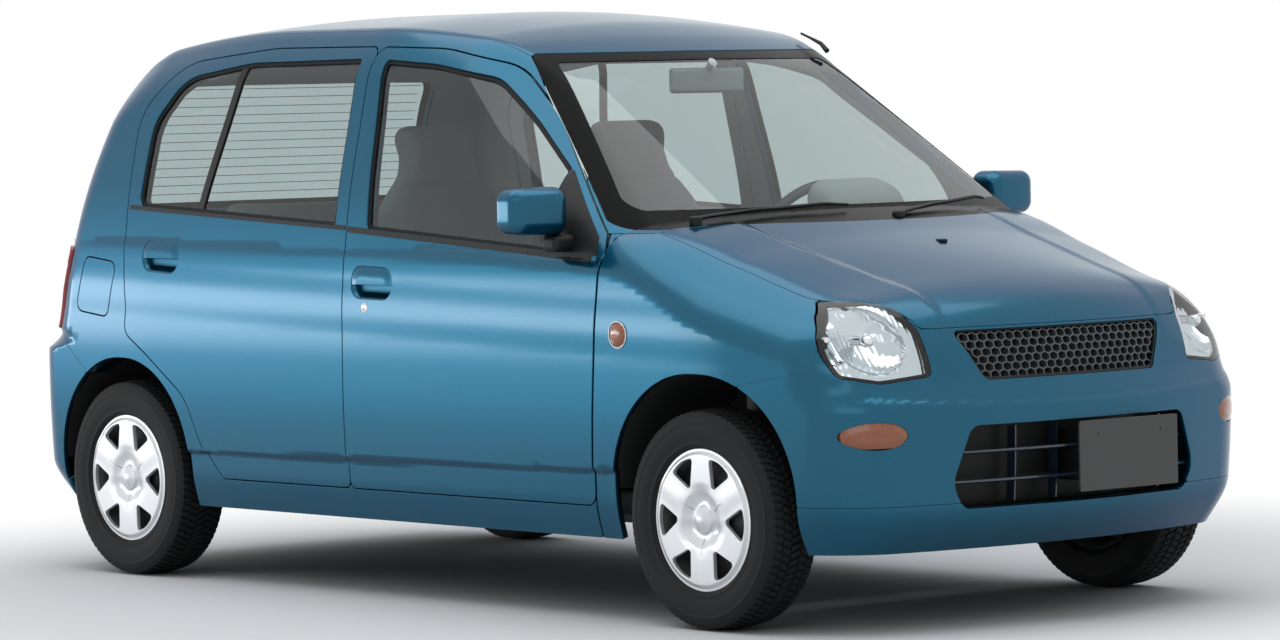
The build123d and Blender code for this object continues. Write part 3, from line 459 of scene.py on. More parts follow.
def outline_distance(uv, outline):
    """Signed distance from a closed outline, negative inside."""
    near = np.full(len(uv), 1e9)
    winding = np.zeros(len(uv), bool)
    for a, b in zip(outline, np.roll(outline, -1, axis=0)):
        edge = b - a
        offset = uv - a
        t = np.clip(offset @ edge / max(edge @ edge, 1e-12), 0.0, 1.0)
        near = np.minimum(near, ((offset - t[:, None] * edge) ** 2).sum(axis=1))
        above = (a[1] > uv[:, 1]) != (b[1] > uv[:, 1])
        slope = (b[0] - a[0]) / (b[1] - a[1]) if abs(b[1] - a[1]) > 1e-12 else 0.0
        winding ^= above & (uv[:, 0] < a[0] + (uv[:, 1] - a[1]) * slope)
    return np.where(winding, -1.0, 1.0) * np.sqrt(near)


def seen(rows, plane):
    """Level of an outline drawn from the side (xz), the front (yz) or above (xy)."""
    outline = rounded(rows)
    axes = {"side": (0, 2), "front": (1, 2), "top": (0, 1)}[plane]

    def level(p):
        uv = np.stack([p[:, axes[0]], np.abs(p[:, axes[1]]) if axes[1] == 1 else p[:, axes[1]]], axis=1)
        if axes[0] == 1:
            uv[:, 0] = np.abs(uv[:, 0])
        return outline_distance(uv, outline)
    return level


def inside_all(*levels):
    """Level of what lies inside every given level."""
    return lambda p: np.max([level(p) for level in levels], axis=0)


def outside(level, gap=0.0):
    """Level of what lies further outside a level than a gap."""
    return lambda p: gap - level(p)


def shrunk(level, gap):
    """A level drawn in by a gap."""
    return lambda p: level(p) + gap


def beyond(axis, limit, sign):
    """Keeps the side of a plane where sign * coordinate is larger."""
    return lambda p: sign * (limit - (np.abs(p[:, 1]) if axis == 1 else p[:, axis]))


def arch(rear, front, top, radius=290.0):
    """Outline of a wheel arch: upright sides from the ground under a round top."""
    return [(rear, 0.0, 0), (front, 0.0, 0), (front, top, radius), (rear, top, radius)]


FAR = 2500.0
B_SEAM = -256.0
DOOR_BOTTOM = 277.0
FRONT_DOOR = [(713.0, DOOR_BOTTOM, 30.0), (748.0, 880.0, 200.0), (727.0, 932.0, 20.0),
              (418.0, 1207.0, 900.0), (222.0, 1342.0, 250.0), (-20.0, 1390.0, 500.0),
              (B_SEAM, 1400.0, 30.0), (B_SEAM, DOOR_BOTTOM, 20.0)]
REAR_DOOR = [(B_SEAM, 1400.0, 30.0), (-700.0, 1404.0, 900.0), (-1085.0, 1372.0, 220.0),
             (-1237.0, 1235.0, 130.0), (-1233.0, 900.0, 500.0), (-1212.0, 720.0, 80.0),
             (-1222.0, 655.0, 40.0), (-1120.0, 598.0, 120.0), (-950.0, 490.0, 150.0),
             (-878.0, 352.0, 150.0), (-806.0, DOOR_BOTTOM, 20.0), (B_SEAM, DOOR_BOTTOM, 20.0)]
FRONT_WINDOW = [(-176.0, 938.0, 12.0), (534.0, 889.0, 4.0), (530.0, 1088.0, 4.0), (363.0, 1204.0, 900.0),
                (190.0, 1314.0, 160.0), (-30.0, 1353.0, 500.0), (-213.0, 1368.0, 14.0)]
REAR_WINDOW = [(-303.0, 945.0, 12.0), (-302.0, 1372.0, 14.0), (-780.0, 1369.0, 700.0),
               (-1050.0, 1335.0, 160.0), (-1172.0, 1215.0, 120.0), (-1184.0, 992.0, 25.0)]
FUEL_LID = [(-1413.0, 857.0, 25.0), (-1263.0, 842.0, 25.0), (-1302.0, 694.0, 25.0), (-1453.0, 710.0, 25.0)]
FRONT_HANDLE = [(-222.0, 848.0, 38.0), (-53.0, 842.0, 38.0), (-53.0, 758.0, 38.0), (-222.0, 762.0, 38.0)]
REAR_HANDLE = [(-1141.0, 905.0, 38.0), (-976.0, 896.0, 38.0), (-976.0, 812.0, 38.0), (-1141.0, 820.0, 38.0)]
FRONT_ARCH = arch(FRONT_AXLE - 310.0, FRONT_AXLE + 295.0, 607.0)
REAR_ARCH = arch(REAR_AXLE - 300.0, REAR_AXLE + 300.0, 587.0)
REAR_BUMPER = [(-1413.0, 548.0, 0), (-1551.0, 656.0, 15.0), (-FAR, 656.0, 0), (-FAR, 215.0, 0),
               (-1413.0, 250.0, 0)]
TAIL_LAMP = [(-1566.0, 655.0, 8.0), (-1487.0, 882.0, 12.0), (-FAR, 882.0, 0), (-FAR, 655.0, 0)]
TAILGATE = [(600.0, 668.0, 40.0), (575.0, 900.0, 200.0), (520.0, 1350.0, 60.0), (505.0, 1420.0, 10.0),
            (-400.0, 1420.0, 0), (-400.0, 668.0, 0)]
TAILGATE_WINDOW = [(505.0, 975.0, 60.0), (462.0, 1335.0, 60.0), (-400.0, 1335.0, 0), (-400.0, 975.0, 0)]
FENDER_REAR = [(713.0, -FAR, 0), (713.0, DOOR_BOTTOM, 0), (748.0, 880.0, 200.0), (731.0, 932.0, 0),
               (FAR, 932.0, 0), (FAR, -FAR, 0)]
FENDER = [(719.0, SILL_BOTTOM, 0), (719.0, DOOR_BOTTOM, 0), (754.0, 880.0, 200.0), (738.0, 931.0, 0),
          (850.0, 931.0, 0), (900.0, 960.0, 0), (1440.0, 960.0, 0), (1440.0, 618.0, 10.0),
          (1400.0, 612.0, 60.0), (1233.0, 583.0, 0), (1160.0, 560.0, 0), (1100.0, SILL_BOTTOM, 0)]
BUMPER = [(1200.0, -FAR, 0), (1200.0, 570.0, 0), (1233.0, 583.0, 0), (1400.0, 612.0, 60.0),
          (1440.0, 618.0, 10.0), (1440.0, 790.0, 0), (FAR, 790.0, 0), (FAR, -FAR, 0)]
WINDSHIELD = [(668.0, 941.0, 20.0), (482.0, 1372.0, 30.0), (-100.0, 1372.0, 0), (-100.0, 941.0, 0)]
ROOF = [(330.0, -100.0, 0), (330.0, 470.0, 0), (-260.0, 548.0, 1500.0), (-1254.0, 548.0, 0),
        (-1254.0, -100.0, 0)]
HEADLAMP = [(424.0, 599.0, 15.0), (560.0, 586.0, 60.0), (641.0, 602.0, 22.0), (656.0, 650.0, 60.0),
            (648.0, 691.0, 80.0), (612.0, 740.0, 80.0), (576.0, 775.0, 14.0), (474.0, 782.0, 25.0),
            (430.0, 706.0, 12.0)]
HOOD = [(1648.0, 0.0, 1400.0), (1527.0, 434.0, 25.0), (1455.0, 500.0, 60.0), (1362.0, 573.0, 200.0),
        (862.0, 626.0, 12.0), (1045.0, 0.0, 1450.0), (862.0, -626.0, 12.0), (1362.0, -573.0, 200.0),
        (1455.0, -500.0, 60.0), (1527.0, -434.0, 25.0)]
HOOD_FRONT = [(1662.0, 0.0, 1400.0), (1539.0, 434.0, 25.0), (1500.0, 434.0, 0), (1500.0, -434.0, 0),
              (1539.0, -434.0, 25.0)]
HOOD_LIP = 709.0
GRILLE = [(-348.0, 702.0, 12.0), (-281.0, 584.0, 25.0), (281.0, 584.0, 25.0), (348.0, 702.0, 12.0)]
AIR_OPENING = [(-350.0, 483.0, 34.0), (-404.0, 345.0, 90.0), (-366.0, 287.0, 34.0), (366.0, 287.0, 34.0),
               (404.0, 345.0, 90.0), (350.0, 483.0, 34.0)]
SIGNAL = [(588.0 + 69.0 * math.cos(math.radians(turn)), 468.0 + 33.0 * math.sin(math.radians(turn)), 0.0)
          for turn in range(0, 360, 15)]
COWL_LINE = [(1038.0, 0.0, 1450.0), (856.0, 628.0, 0), (780.0, 628.0, 0), (900.0, 0.0, 1300.0),
             (780.0, -628.0, 0), (856.0, -628.0, 0)]


# ---------------------------------------------------------------------------
# Cutting and thickening pieces of the body net
# ---------------------------------------------------------------------------
def refine(points, tris, value, level):
    """Halves every edge near the zero line of a level, so that a cut follows small corners."""
    near = (np.abs(value[tris]) < NEAR_CUT).any(axis=1)
    rest, tris = tris[~near], tris[near]
    if not len(tris):
        return points, rest, value
    edges = np.sort(np.concatenate([tris[:, [0, 1]], tris[:, [1, 2]], tris[:, [2, 0]]]), axis=1)
    keys, where = np.unique(edges[:, 0] * len(points) + edges[:, 1], return_inverse=True)
    a, b = keys // len(points), keys % len(points)
    length = np.linalg.norm(points[a] - points[b], axis=1)
    reach = np.minimum(0.8 * length, NEAR_CUT)
    close = (np.minimum(np.abs(value[a]), np.abs(value[b])) < reach) & (length > FINE_EDGE)
    number = np.full(len(keys), -1)
    number[close] = len(points) + np.arange(close.sum())
    added = (points[a[close]] + points[b[close]]) / 2
    points = np.concatenate([points, added])
    value = np.concatenate([value, level(added)])
    middle = number[where.reshape(3, -1)].T
    split = middle >= 0
    count = split.sum(axis=1)
    parts = [rest, tris[count == 0]]
    for corner in range(3):
        order = (corner + np.arange(3)) % 3
        chosen = split[:, order]
        one = chosen[:, 0] & (count == 1)
        p, q, r = tris[one][:, order].T
        x = middle[one][:, order[0]]
        parts += [np.stack(made, axis=1) for made in ((p, x, r), (x, q, r))]
        two = ~chosen[:, 0] & (count == 2)
        p, q, r = tris[two][:, order].T
        y, z = middle[two][:, order[1:]].T
        parts += [np.stack(made, axis=1) for made in ((p, q, y), (p, y, z), (z, y, r))]
    p, q, r = tris[count == 3].T
    x, y, z = middle[count == 3].T
    parts += [np.stack(made, axis=1) for made in ((p, x, z), (x, q, y), (z, y, r), (x, y, z))]
    return points, np.concatenate(parts), value


def cut(net, level):
    """The part of a net where the level is negative, with its new edge on the zero line."""
    points, tris = net
    value = level(points)
    for _ in range(2):
        points, tris, value = refine(points, tris, value, level)
    value = np.where(np.abs(value) < 1e-6, -1e-6, value)
    inside = value < 0
    number = inside[tris].sum(axis=1)
    whole_tris = tris[number == 3]
    mixed = tris[(number == 1) | (number == 2)]
    lone = np.where(inside[mixed].sum(axis=1) == 1, True, False)
    odd = np.where(lone[:, None], inside[mixed], ~inside[mixed]).argmax(axis=1)
    order = (odd[:, None] + np.arange(3)) % 3
    mixed = np.take_along_axis(mixed, order, axis=1)
    pairs = np.concatenate([mixed[:, [0, 1]], mixed[:, [0, 2]]])
    keys, where = np.unique(np.sort(pairs, axis=1), axis=0, return_inverse=True)
    where = where.reshape(-1) + len(points)
    a, b = keys[:, 0], keys[:, 1]
    t = (value[a] / (value[a] - value[b]))[:, None]
    added = points[a] * (1 - t) + points[b] * t
    first, second = where[:len(mixed)], where[len(mixed):]
    ones = np.stack([mixed[:, 0], first, second], axis=1)[lone]
    two_a = np.stack([first, mixed[:, 1], mixed[:, 2]], axis=1)[~lone]
    two_b = np.stack([first, mixed[:, 2], second], axis=1)[~lone]
    tris = np.concatenate([whole_tris, ones, two_a, two_b])
    points = np.concatenate([points, added])
    used, inverse = np.unique(tris, return_inverse=True)
    return points[used], inverse.reshape(-1, 3)


def edge_loops(tris):
    """Directed edges that belong to one triangle only."""
    edges = np.concatenate([tris[:, [0, 1]], tris[:, [1, 2]], tris[:, [2, 0]]])
    key = np.sort(edges, axis=1)
    _, index, count = np.unique(key, axis=0, return_index=True, return_counts=True)
    return edges[index[count == 1]]


def rim_of(points, tris, facing):
    """Open edges of a net, the points on them, each point's number among those, and the way outwards."""
    edges = edge_loops(tris)
    rim = np.unique(edges)
    place = np.full(len(points), -1)
    place[rim] = np.arange(len(rim))
    away = np.cross(points[edges[:, 1]] - points[edges[:, 0]], facing[edges[:, 0]])
    out = np.zeros((len(points), 3))
    np.add.at(out, edges[:, 0], away)
    np.add.at(out, edges[:, 1], away)
    out = out[rim]
    out /= np.maximum(np.linalg.norm(out, axis=1, keepdims=True), 1e-9)
    return edges, rim, place, out


def mirror_whole(points, tris):
    """A centre panel from its left half: the mirrored half shares the points on the centreline."""
    centre = np.abs(points[:, 1]) < 0.02
    points = points.copy()
    points[centre, 1] = 0.0
    other = np.where(centre, np.arange(len(points)), -1)
    other[~centre] = len(points) + np.arange((~centre).sum())
    flipped = points[~centre] * (1, -1, 1)
    return np.concatenate([points, flipped]), np.concatenate([tris, other[tris][:, ::-1]])


def skin_normals(points):
    """Unit normals of the body skin."""
    normal = gradient(body_field, points)
    return normal / np.linalg.norm(normal, axis=1, keepdims=True)


class Panel:
    """Points, faces, a material number per face and a normal per point (zero where Blender works it out)."""

    def __init__(self):
        self.points, self.faces, self.finish, self.normals = [], [], [], []
        self.size = 0

    def add(self, points, faces, finish, normals=None):
        self.points.append(np.asarray(points, float))
        self.faces += [[int(i) + self.size for i in face] for face in faces]
        self.finish += [finish] * len(faces) if np.isscalar(finish) else list(finish)
        self.normals.append(np.zeros((len(points), 3)) if normals is None else normals)
        self.size += len(points)

    def object(self, name, materials, mirror=False):
        points = np.concatenate(self.points)
        normals = np.concatenate(self.normals)
        faces = self.faces
        if mirror:
            points = points * (1, -1, 1)
            normals = normals * (1, -1, 1)
            faces = [face[::-1] for face in faces]
        mesh = bpy.data.meshes.new(name)
        mesh.from_pydata((points * MM).tolist(), [], faces)
        for material in materials:
            mesh.materials.append(material)
        mesh.polygons.foreach_set("material_index", self.finish)
        mesh.polygons.foreach_set("use_smooth", [True] * len(faces))
        mesh.validate(clean_customdata=False)
        if np.any(normals):
            mesh.normals_split_custom_set_from_vertices(normals.tolist())
        mesh.update()
        obj = bpy.data.objects.new(name, mesh)
        bpy.context.scene.collection.objects.link(obj)
        return obj


def shell(panel, net, depth, finishes=(0, 0, 1), lift=0.0, centre=False, edge_round=1.2):
    """Thickens a cut net inwards: an outer skin, rounded rims and an inner wall."""
    points, tris = net
    if centre:
        points, tris = mirror_whole(points, tris)
    points = onto(body_field, points, 2)
    if centre:
        points[np.abs(points[:, 1]) < 0.02, 1] = 0.0
    normal = skin_normals(points)
    points = points + normal * lift
    deep = depth(points) if callable(depth) else np.full(len(points), float(depth))
    edges, rim, place, out = rim_of(points, tris, normal)
    inner = points - normal * deep[:, None]
    inner[rim] += out * edge_round * 0.8
    lip = points[rim] + out * edge_round * 0.8 - normal[rim] * edge_round
    panel.add(points, tris, finishes[0], normal)
    count = len(points)
    first = panel.size - count
    first_inner, first_lip = first + count, first + 2 * count
    faces = []
    for i, j in edges.tolist():
        p, q = first_lip + int(place[i]), first_lip + int(place[j])
        faces += [[first + j, first + i, p, q], [q, p, first_inner + i, first_inner + j]]
    panel.points += [inner, lip]
    panel.normals += [np.zeros((count, 3)), np.zeros((len(rim), 3))]
    panel.size += count + len(rim)
    panel.faces += faces + (tris[:, ::-1] + first_inner).tolist()
    panel.finish += [finishes[1]] * len(faces) + [finishes[2]] * len(tris)


# ---------------------------------------------------------------------------
# Materials
# ---------------------------------------------------------------------------
def node(tree, kind, links=None, **settings):
    """Adds one shader node; settings are its properties or input values, links its incoming wires."""
    made = tree.nodes.new(kind)
    for key, value in settings.items():
        if hasattr(made, key):
            setattr(made, key, value)
        else:
            made.inputs[key.replace("_", " ")].default_value = value
    for key, source in (links or {}).items():
        tree.links.new(source, made.inputs[key])
    return made


def surface(name, hex_code, **settings):
    """A new material with one Principled shader. Returns the material, its tree and the shader."""
    material = bpy.data.materials.new(name)
    material.use_nodes = True
    tree = material.node_tree
    shader = tree.nodes["Principled BSDF"]
    shader.inputs["Base Color"].default_value = colour(hex_code)
    for key, value in settings.items():
        shader.inputs[key.replace("_", " ")].default_value = value
    return material, tree, shader


def grained(tree, shader, grain_mm, strength, distance_mm, roughness=None, tint=None):
    """Noise of a real grain size as bump, with optional roughness and colour spread."""
    where = node(tree, "ShaderNodeTexCoord")
    noise = node(tree, "ShaderNodeTexNoise", {"Vector": where.outputs["Object"]},
                 Scale=1000.0 / grain_mm, Detail=3.0, Roughness=0.6)
    bump = node(tree, "ShaderNodeBump", {"Height": noise.outputs["Fac"]}, Strength=strength,
                Distance=distance_mm * MM)
    tree.links.new(bump.outputs["Normal"], shader.inputs["Normal"])
    if roughness:
        spread = node(tree, "ShaderNodeMapRange", {"Value": noise.outputs["Fac"]}, To_Min=roughness[0],
                      To_Max=roughness[1])
        tree.links.new(spread.outputs["Result"], shader.inputs["Roughness"])
    if tint:
        mix = node(tree, "ShaderNodeMix", {"Factor": noise.outputs["Fac"]}, data_type="RGBA")
        mix.inputs[6].default_value = colour(tint[0])
        mix.inputs[7].default_value = colour(tint[1])
        tree.links.new(mix.outputs[2], shader.inputs["Base Color"])
    return noise


def body_paint():
    # Blue metallic basecoat under clear lacquer: fine aluminium flake in the colour, a glossy top coat.
    material, tree, shader = surface("metallic_blue_lacquer", "#064e66", Metallic=0.85, Roughness=0.3,
                                     Coat_Weight=0.8, Coat_Roughness=0.13, Coat_IOR=1.38)
    shader.inputs["Specular Tint"].default_value = colour("#5fa9c6")
    where = node(tree, "ShaderNodeTexCoord")
    # 0.3 mm flakes are too fine to show; drawn as 1.2 mm cells.
    flake = node(tree, "ShaderNodeTexVoronoi", {"Vector": where.outputs["Object"]}, Scale=830.0)
    mix = node(tree, "ShaderNodeMix", {"Factor": flake.outputs["Distance"]}, data_type="RGBA")
    mix.inputs[6].default_value = shades().paint_dark
    mix.inputs[7].default_value = shades().paint_light
    tree.links.new(mix.outputs[2], shader.inputs["Base Color"])
    orange_peel = node(tree, "ShaderNodeTexNoise", {"Vector": where.outputs["Object"]}, Scale=70.0,
                       Detail=1.0)
    bump = node(tree, "ShaderNodeBump", {"Height": orange_peel.outputs["Fac"]}, Strength=0.02,
                Distance=0.2 * MM)
    tree.links.new(bump.outputs["Normal"], shader.inputs["Coat Normal"])
    return material


def glancing(tree):
    """Reflected share of a thin pane: Fresnel on the face that meets the eye and none on the way out."""
    fresnel = node(tree, "ShaderNodeFresnel", IOR=1.5)
    where = node(tree, "ShaderNodeNewGeometry")
    facing = node(tree, "ShaderNodeMath", {1: where.outputs["Backfacing"]}, operation="SUBTRACT")
    facing.inputs[0].default_value = 1.0
    return node(tree, "ShaderNodeMath", {0: fresnel.outputs["Fac"], 1: facing.outputs["Value"]},
                operation="MULTIPLY")


def thin_pane(name, hex_code, through_colour, shine, film_scale, film_roughness, **settings):
    """A pane too thin to bend light: clear straight on, more of a mirror the flatter it is seen."""
    material, tree, _ = surface(name, hex_code, Roughness=0.0, **settings)
    clear = node(tree, "ShaderNodeBsdfTransparent")
    clear.inputs["Color"].default_value = through_colour
    gloss = node(tree, "ShaderNodeBsdfGlossy")
    gloss.inputs["Color"].default_value = shine
    where = node(tree, "ShaderNodeTexCoord")
    film = node(tree, "ShaderNodeTexNoise", {"Vector": where.outputs["Object"]}, Scale=film_scale, Detail=2.0)
    spread = node(tree, "ShaderNodeMapRange", {"Value": film.outputs["Fac"]}, To_Min=0.0,
                  To_Max=film_roughness)
    tree.links.new(spread.outputs["Result"], gloss.inputs["Roughness"])
    mix = node(tree, "ShaderNodeMixShader", {0: glancing(tree).outputs["Value"], 1: clear.outputs["BSDF"],
                                             2: gloss.outputs["BSDF"]})
    tree.links.new(mix.outputs["Shader"], tree.nodes["Material Output"].inputs["Surface"])
    return material


def simple(name, hex_code, grain_mm, strength, distance_mm, spread, tint=None, **settings):
    """A Principled material with grain of a real size."""
    material, tree, shader = surface(name, hex_code, **settings)
    grained(tree, shader, grain_mm, strength, distance_mm, spread, tint)
    return material


def woven_cloth():
    # Flat woven polyester seat cloth: threads about 1.5 mm apart, drawn at 4 mm so that they show.
    material, tree, shader = surface("woven_polyester_cloth", "#6b6d70", Roughness=0.92, Sheen_Weight=0.35,
                                     Sheen_Roughness=0.5)
    where = node(tree, "ShaderNodeTexCoord")
    warp = node(tree, "ShaderNodeTexWave", {"Vector": where.outputs["Object"]}, Scale=78.0,
                bands_direction="Y")
    weft = node(tree, "ShaderNodeTexWave", {"Vector": where.outputs["Object"]}, Scale=78.0,
                bands_direction="Z")
    weave = node(tree, "ShaderNodeMath", {0: warp.outputs["Fac"], 1: weft.outputs["Fac"]},
                 operation="MULTIPLY")
    speckle = node(tree, "ShaderNodeTexNoise", {"Vector": where.outputs["Object"]}, Scale=260.0, Detail=2.0)
    mix = node(tree, "ShaderNodeMix", {"Factor": speckle.outputs["Fac"]}, data_type="RGBA")
    mix.inputs[6].default_value = shades().cloth_dark
    mix.inputs[7].default_value = shades().cloth_light
    tree.links.new(mix.outputs[2], shader.inputs["Base Color"])
    bump = node(tree, "ShaderNodeBump", {"Height": weave.outputs["Value"]}, Strength=0.5, Distance=0.6 * MM)
    tree.links.new(bump.outputs["Normal"], shader.inputs["Normal"])
    return material


def background_rays(tree):
    """1 for the rays that show the white background: straight, reflected or through glass."""
    path = node(tree, "ShaderNodeLightPath")
    seen = node(tree, "ShaderNodeMath",
                {0: path.outputs["Is Camera Ray"], 1: path.outputs["Is Transmission Ray"]},
                operation="MAXIMUM")
    return node(tree, "ShaderNodeMath", {0: seen.outputs["Value"], 1: path.outputs["Is Glossy Ray"]},
                operation="MAXIMUM")


def studio_floor():
    # Seamless white paper: matte round the car, blown out to white further off as on a lit sweep.
    material, tree, shader = surface("studio_paper", "#d6d7d8", Roughness=0.95, Specular_IOR_Level=0.0)
    output = tree.nodes["Material Output"]
    where = node(tree, "ShaderNodeTexCoord")
    reach = node(tree, "ShaderNodeVectorMath", {0: where.outputs["Object"]}, operation="LENGTH")
    fade = node(tree, "ShaderNodeMapRange", {"Value": reach.outputs["Value"]}, From_Min=1.5, From_Max=3.2,
                interpolation_type="SMOOTHSTEP")
    share = node(tree, "ShaderNodeMath",
                 {0: fade.outputs["Result"], 1: background_rays(tree).outputs["Value"]},
                 operation="MULTIPLY")
    white = node(tree, "ShaderNodeEmission", Strength=1.0)
    white.inputs["Color"].default_value = (1, 1, 1, 1)
    mix = node(tree, "ShaderNodeMixShader", {0: share.outputs["Value"], 1: shader.outputs["BSDF"],
                                             2: white.outputs["Emission"]})
    tree.links.new(mix.outputs["Shader"], output.inputs["Surface"])
    return material


FINISHES = {}


def make_finishes():
    """Fills FINISHES with the material of each finish."""
    add = FINISHES.__setitem__
    add("paint", body_paint())
    # Toughened soda-lime glass, 5 mm, faint green-grey tint.
    add("glass", thin_pane("tinted_safety_glass", "#dfe8e6", shades().glass, colour("#ffffff"), 6.0, 0.02,
                           IOR=1.45))
    # Clear polycarbonate headlamp lens, 2.5 mm, hard-coated: almost no tint, sharp reflections.
    add("lens", thin_pane("clear_polycarbonate_lens", "#f4f6f7", colour("#f2f5f6"), (0.8, 0.8, 0.8, 1.0),
                          9.0, 0.03))
    # Moulded wheelhouse liner: coarse black polypropylene with stone dust.
    add("liner", simple("black_wheelhouse_liner", "#0e0f10", 12.0, 0.4, 0.6, (0.7, 0.85)))
    # Sintered silver-bronze heater lines printed on the tailgate glass.
    add("copper", simple("printed_heater_line", "#6a4a38", 5.0, 0.05, 0.02, (0.4, 0.5), Metallic=0.5))
    # Slats behind the bumper opening: body blue darkened as painted shade of the recess, under a gloss coat.
    add("paint_dark",
        simple("shaded_blue_slat_paint", "#16293a", 6.0, 0.05, 0.05, (0.25, 0.35), Coat_Weight=0.6))
    # Black-grey electrophoretic paint on the steel wheels and small fittings.
    add("steel", simple("grey_painted_steel", "#4b4e50", 4.0, 0.15, 0.1, (0.4, 0.6), Metallic=0.4))
    # Injection-moulded black ABS with a fine spark-eroded grain: soft, even sheen.
    add("black", simple("moulded_black_abs", "#121315", 1.2, 0.25, 0.1, (0.45, 0.6), Specular_IOR_Level=0.3))
    # Ceramic frit and glossy window garnish: deep black with a hard gloss.
    add("gloss_black",
        simple("gloss_black_frit", "#050606", 8.0, 0.05, 0.05, (0.2, 0.3), Specular_IOR_Level=0.05))
    # EPDM weather strip: dull black rubber.
    add("rubber", simple("epdm_weather_strip", "#101112", 2.0, 0.3, 0.1, (0.6, 0.75), ("#0b0c0d", "#131415"),
                         Specular_IOR_Level=0.25))
    # Grained polypropylene door and pillar trims, light warm grey.
    add("trim", simple("grained_light_polypropylene", "#c4c7c7", 1.5, 0.4, 0.15, (0.5, 0.65)))
    add("dark_trim", simple("grained_dark_polypropylene", "#54585a", 1.5, 0.5, 0.15, (0.5, 0.68)))
    add("cloth", woven_cloth())
    # Black chassis paint over pressed steel: slightly uneven semi-gloss with road film.
    add("chassis",
        simple("black_chassis_paint", "#1d1e20", 18.0, 0.2, 0.4, (0.45, 0.7), ("#17181a", "#2b2a28")))
    # Grey cast iron, sand cast: coarse matte skin.
    add("iron", simple("sand_cast_iron", "#5b5b5a", 2.5, 0.6, 0.4, (0.55, 0.75), Metallic=0.8))
    # Silver lacquer on moulded ABS wheel covers: fine flake, satin.
    add("silver", simple("silver_lacquered_cover", "#dcdfe2", 1.0, 0.05, 0.05, (0.3, 0.38), Metallic=0.5,
                         Coat_Weight=0.5, Coat_Roughness=0.15))
    # Vulcanised tyre rubber: almost black, dull with a faint brown bloom.
    add("tyre", simple("tyre_rubber", "#101112", 3.0, 0.3, 0.2, (0.6, 0.8), ("#0d0e10", "#17181a"),
                       Specular_IOR_Level=0.28))
    # Satin grey moulded grille.
    add("grille", simple("satin_grey_grille", "#55595c", 1.0, 0.1, 0.05, (0.34, 0.46), Metallic=0.2))
    # Dark stove-enamelled number plate blank.
    add("plate", simple("dark_enamel_plate", "#17191c", 2.0, 0.1, 0.05, (0.3, 0.4), Coat_Weight=0.4))
    # Vacuum-metallised reflector: bright aluminium film on plastic.
    add("reflector", simple("metallised_reflector", "#e8eaec", 6.0, 0.05, 0.05, (0.08, 0.14), Metallic=1.0))
    # Orange PMMA lens with a moulded prism pattern.
    add("amber", simple("orange_acrylic_lens", "#b9540f", 5.0, 0.7, 1.0, (0.1, 0.2), ("#6e2d04", "#b05a18"),
                        Coat_Weight=0.8))
    # Red PMMA tail lamp lens.
    add("red", simple("red_acrylic_lens", "#a3121a", 3.0, 0.5, 0.5, (0.1, 0.18), Coat_Weight=0.8))
    # Chrome plate on plastic.
    add("chrome", simple("bright_chrome_plate", "#dcdee0", 6.0, 0.03, 0.05, (0.05, 0.1), Metallic=1.0))


# ---------------------------------------------------------------------------
# Body panels
# ---------------------------------------------------------------------------
NET = {}


def body():
    """Net of the left half of the skin, made once."""
    if not NET:
        NET["half"] = cut(body_net(millimetres(sizes().skin_cell)), lambda p: -p[:, 1])
    return NET["half"]


def wall(lower, upper, blend=25.0):
    """Wall thickness that changes at the belt line."""
    def depth(p):
        share = smooth_step(p[:, 2] - belt_height(p[:, 0]) - 10.0, blend)
        return lower + (upper - lower) * share
    return depth


def thinned(depth, edge_x, least):
    """Wall thickness that falls to a least value forward of edge_x, clear of what a door swings past."""
    return lambda p: np.minimum(depth(p), np.maximum((edge_x - p[:, 0]) * 0.9 + least, least))


def dress(obj, body_name, slot, *nodes):
    """Hangs a piece on the body that it rides on and hides the nodes that it stands for. The slot is not
    used.
    """
    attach(obj, body_name)
    if nodes:
        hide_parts(*nodes)
    return obj


LEVELS = {}


def level(name):
    """Levels of the shared outlines, made once."""
    if not LEVELS:
        side = {"front_door": FRONT_DOOR, "rear_door": REAR_DOOR, "front_window": FRONT_WINDOW,
                "rear_window": REAR_WINDOW, "front_arch": FRONT_ARCH, "rear_arch": REAR_ARCH,
                "rear_bumper": REAR_BUMPER, "tail_lamp": TAIL_LAMP, "fender_rear": FENDER_REAR,
                "fender": FENDER, "bumper": BUMPER, "fuel_lid": FUEL_LID, "front_handle": FRONT_HANDLE,
                "rear_handle": REAR_HANDLE}
        front = {"tailgate": TAILGATE, "tailgate_window": TAILGATE_WINDOW, "windshield": WINDSHIELD,
                 "headlamp": HEADLAMP, "grille": GRILLE, "opening": AIR_OPENING, "signal": SIGNAL}
        top = {"roof": ROOF, "hood": HOOD, "hood_front": HOOD_FRONT, "cowl": COWL_LINE}
        for plane, rows in (("side", side), ("front", front), ("top", top)):
            for key, outline in rows.items():
                LEVELS[key] = seen(outline, plane)
    return LEVELS[name]


def hood_region(gap):
    """Everything above the hood's lower edge inside its outline, grown by a gap."""
    plan = inside_all(shrunk(level("hood"), -gap), beyond(2, HOOD_LIP - gap, 1.0))
    lip = inside_all(shrunk(level("hood_front"), -gap), beyond(2, HOOD_LIP - gap, 1.0))
    return lambda p: np.minimum(plan(p), lip(p))


def side_wall():
    """Wall thickness of doors and body sides."""
    return wall(millimetres(sizes().door_wall), millimetres(sizes().frame_wall))


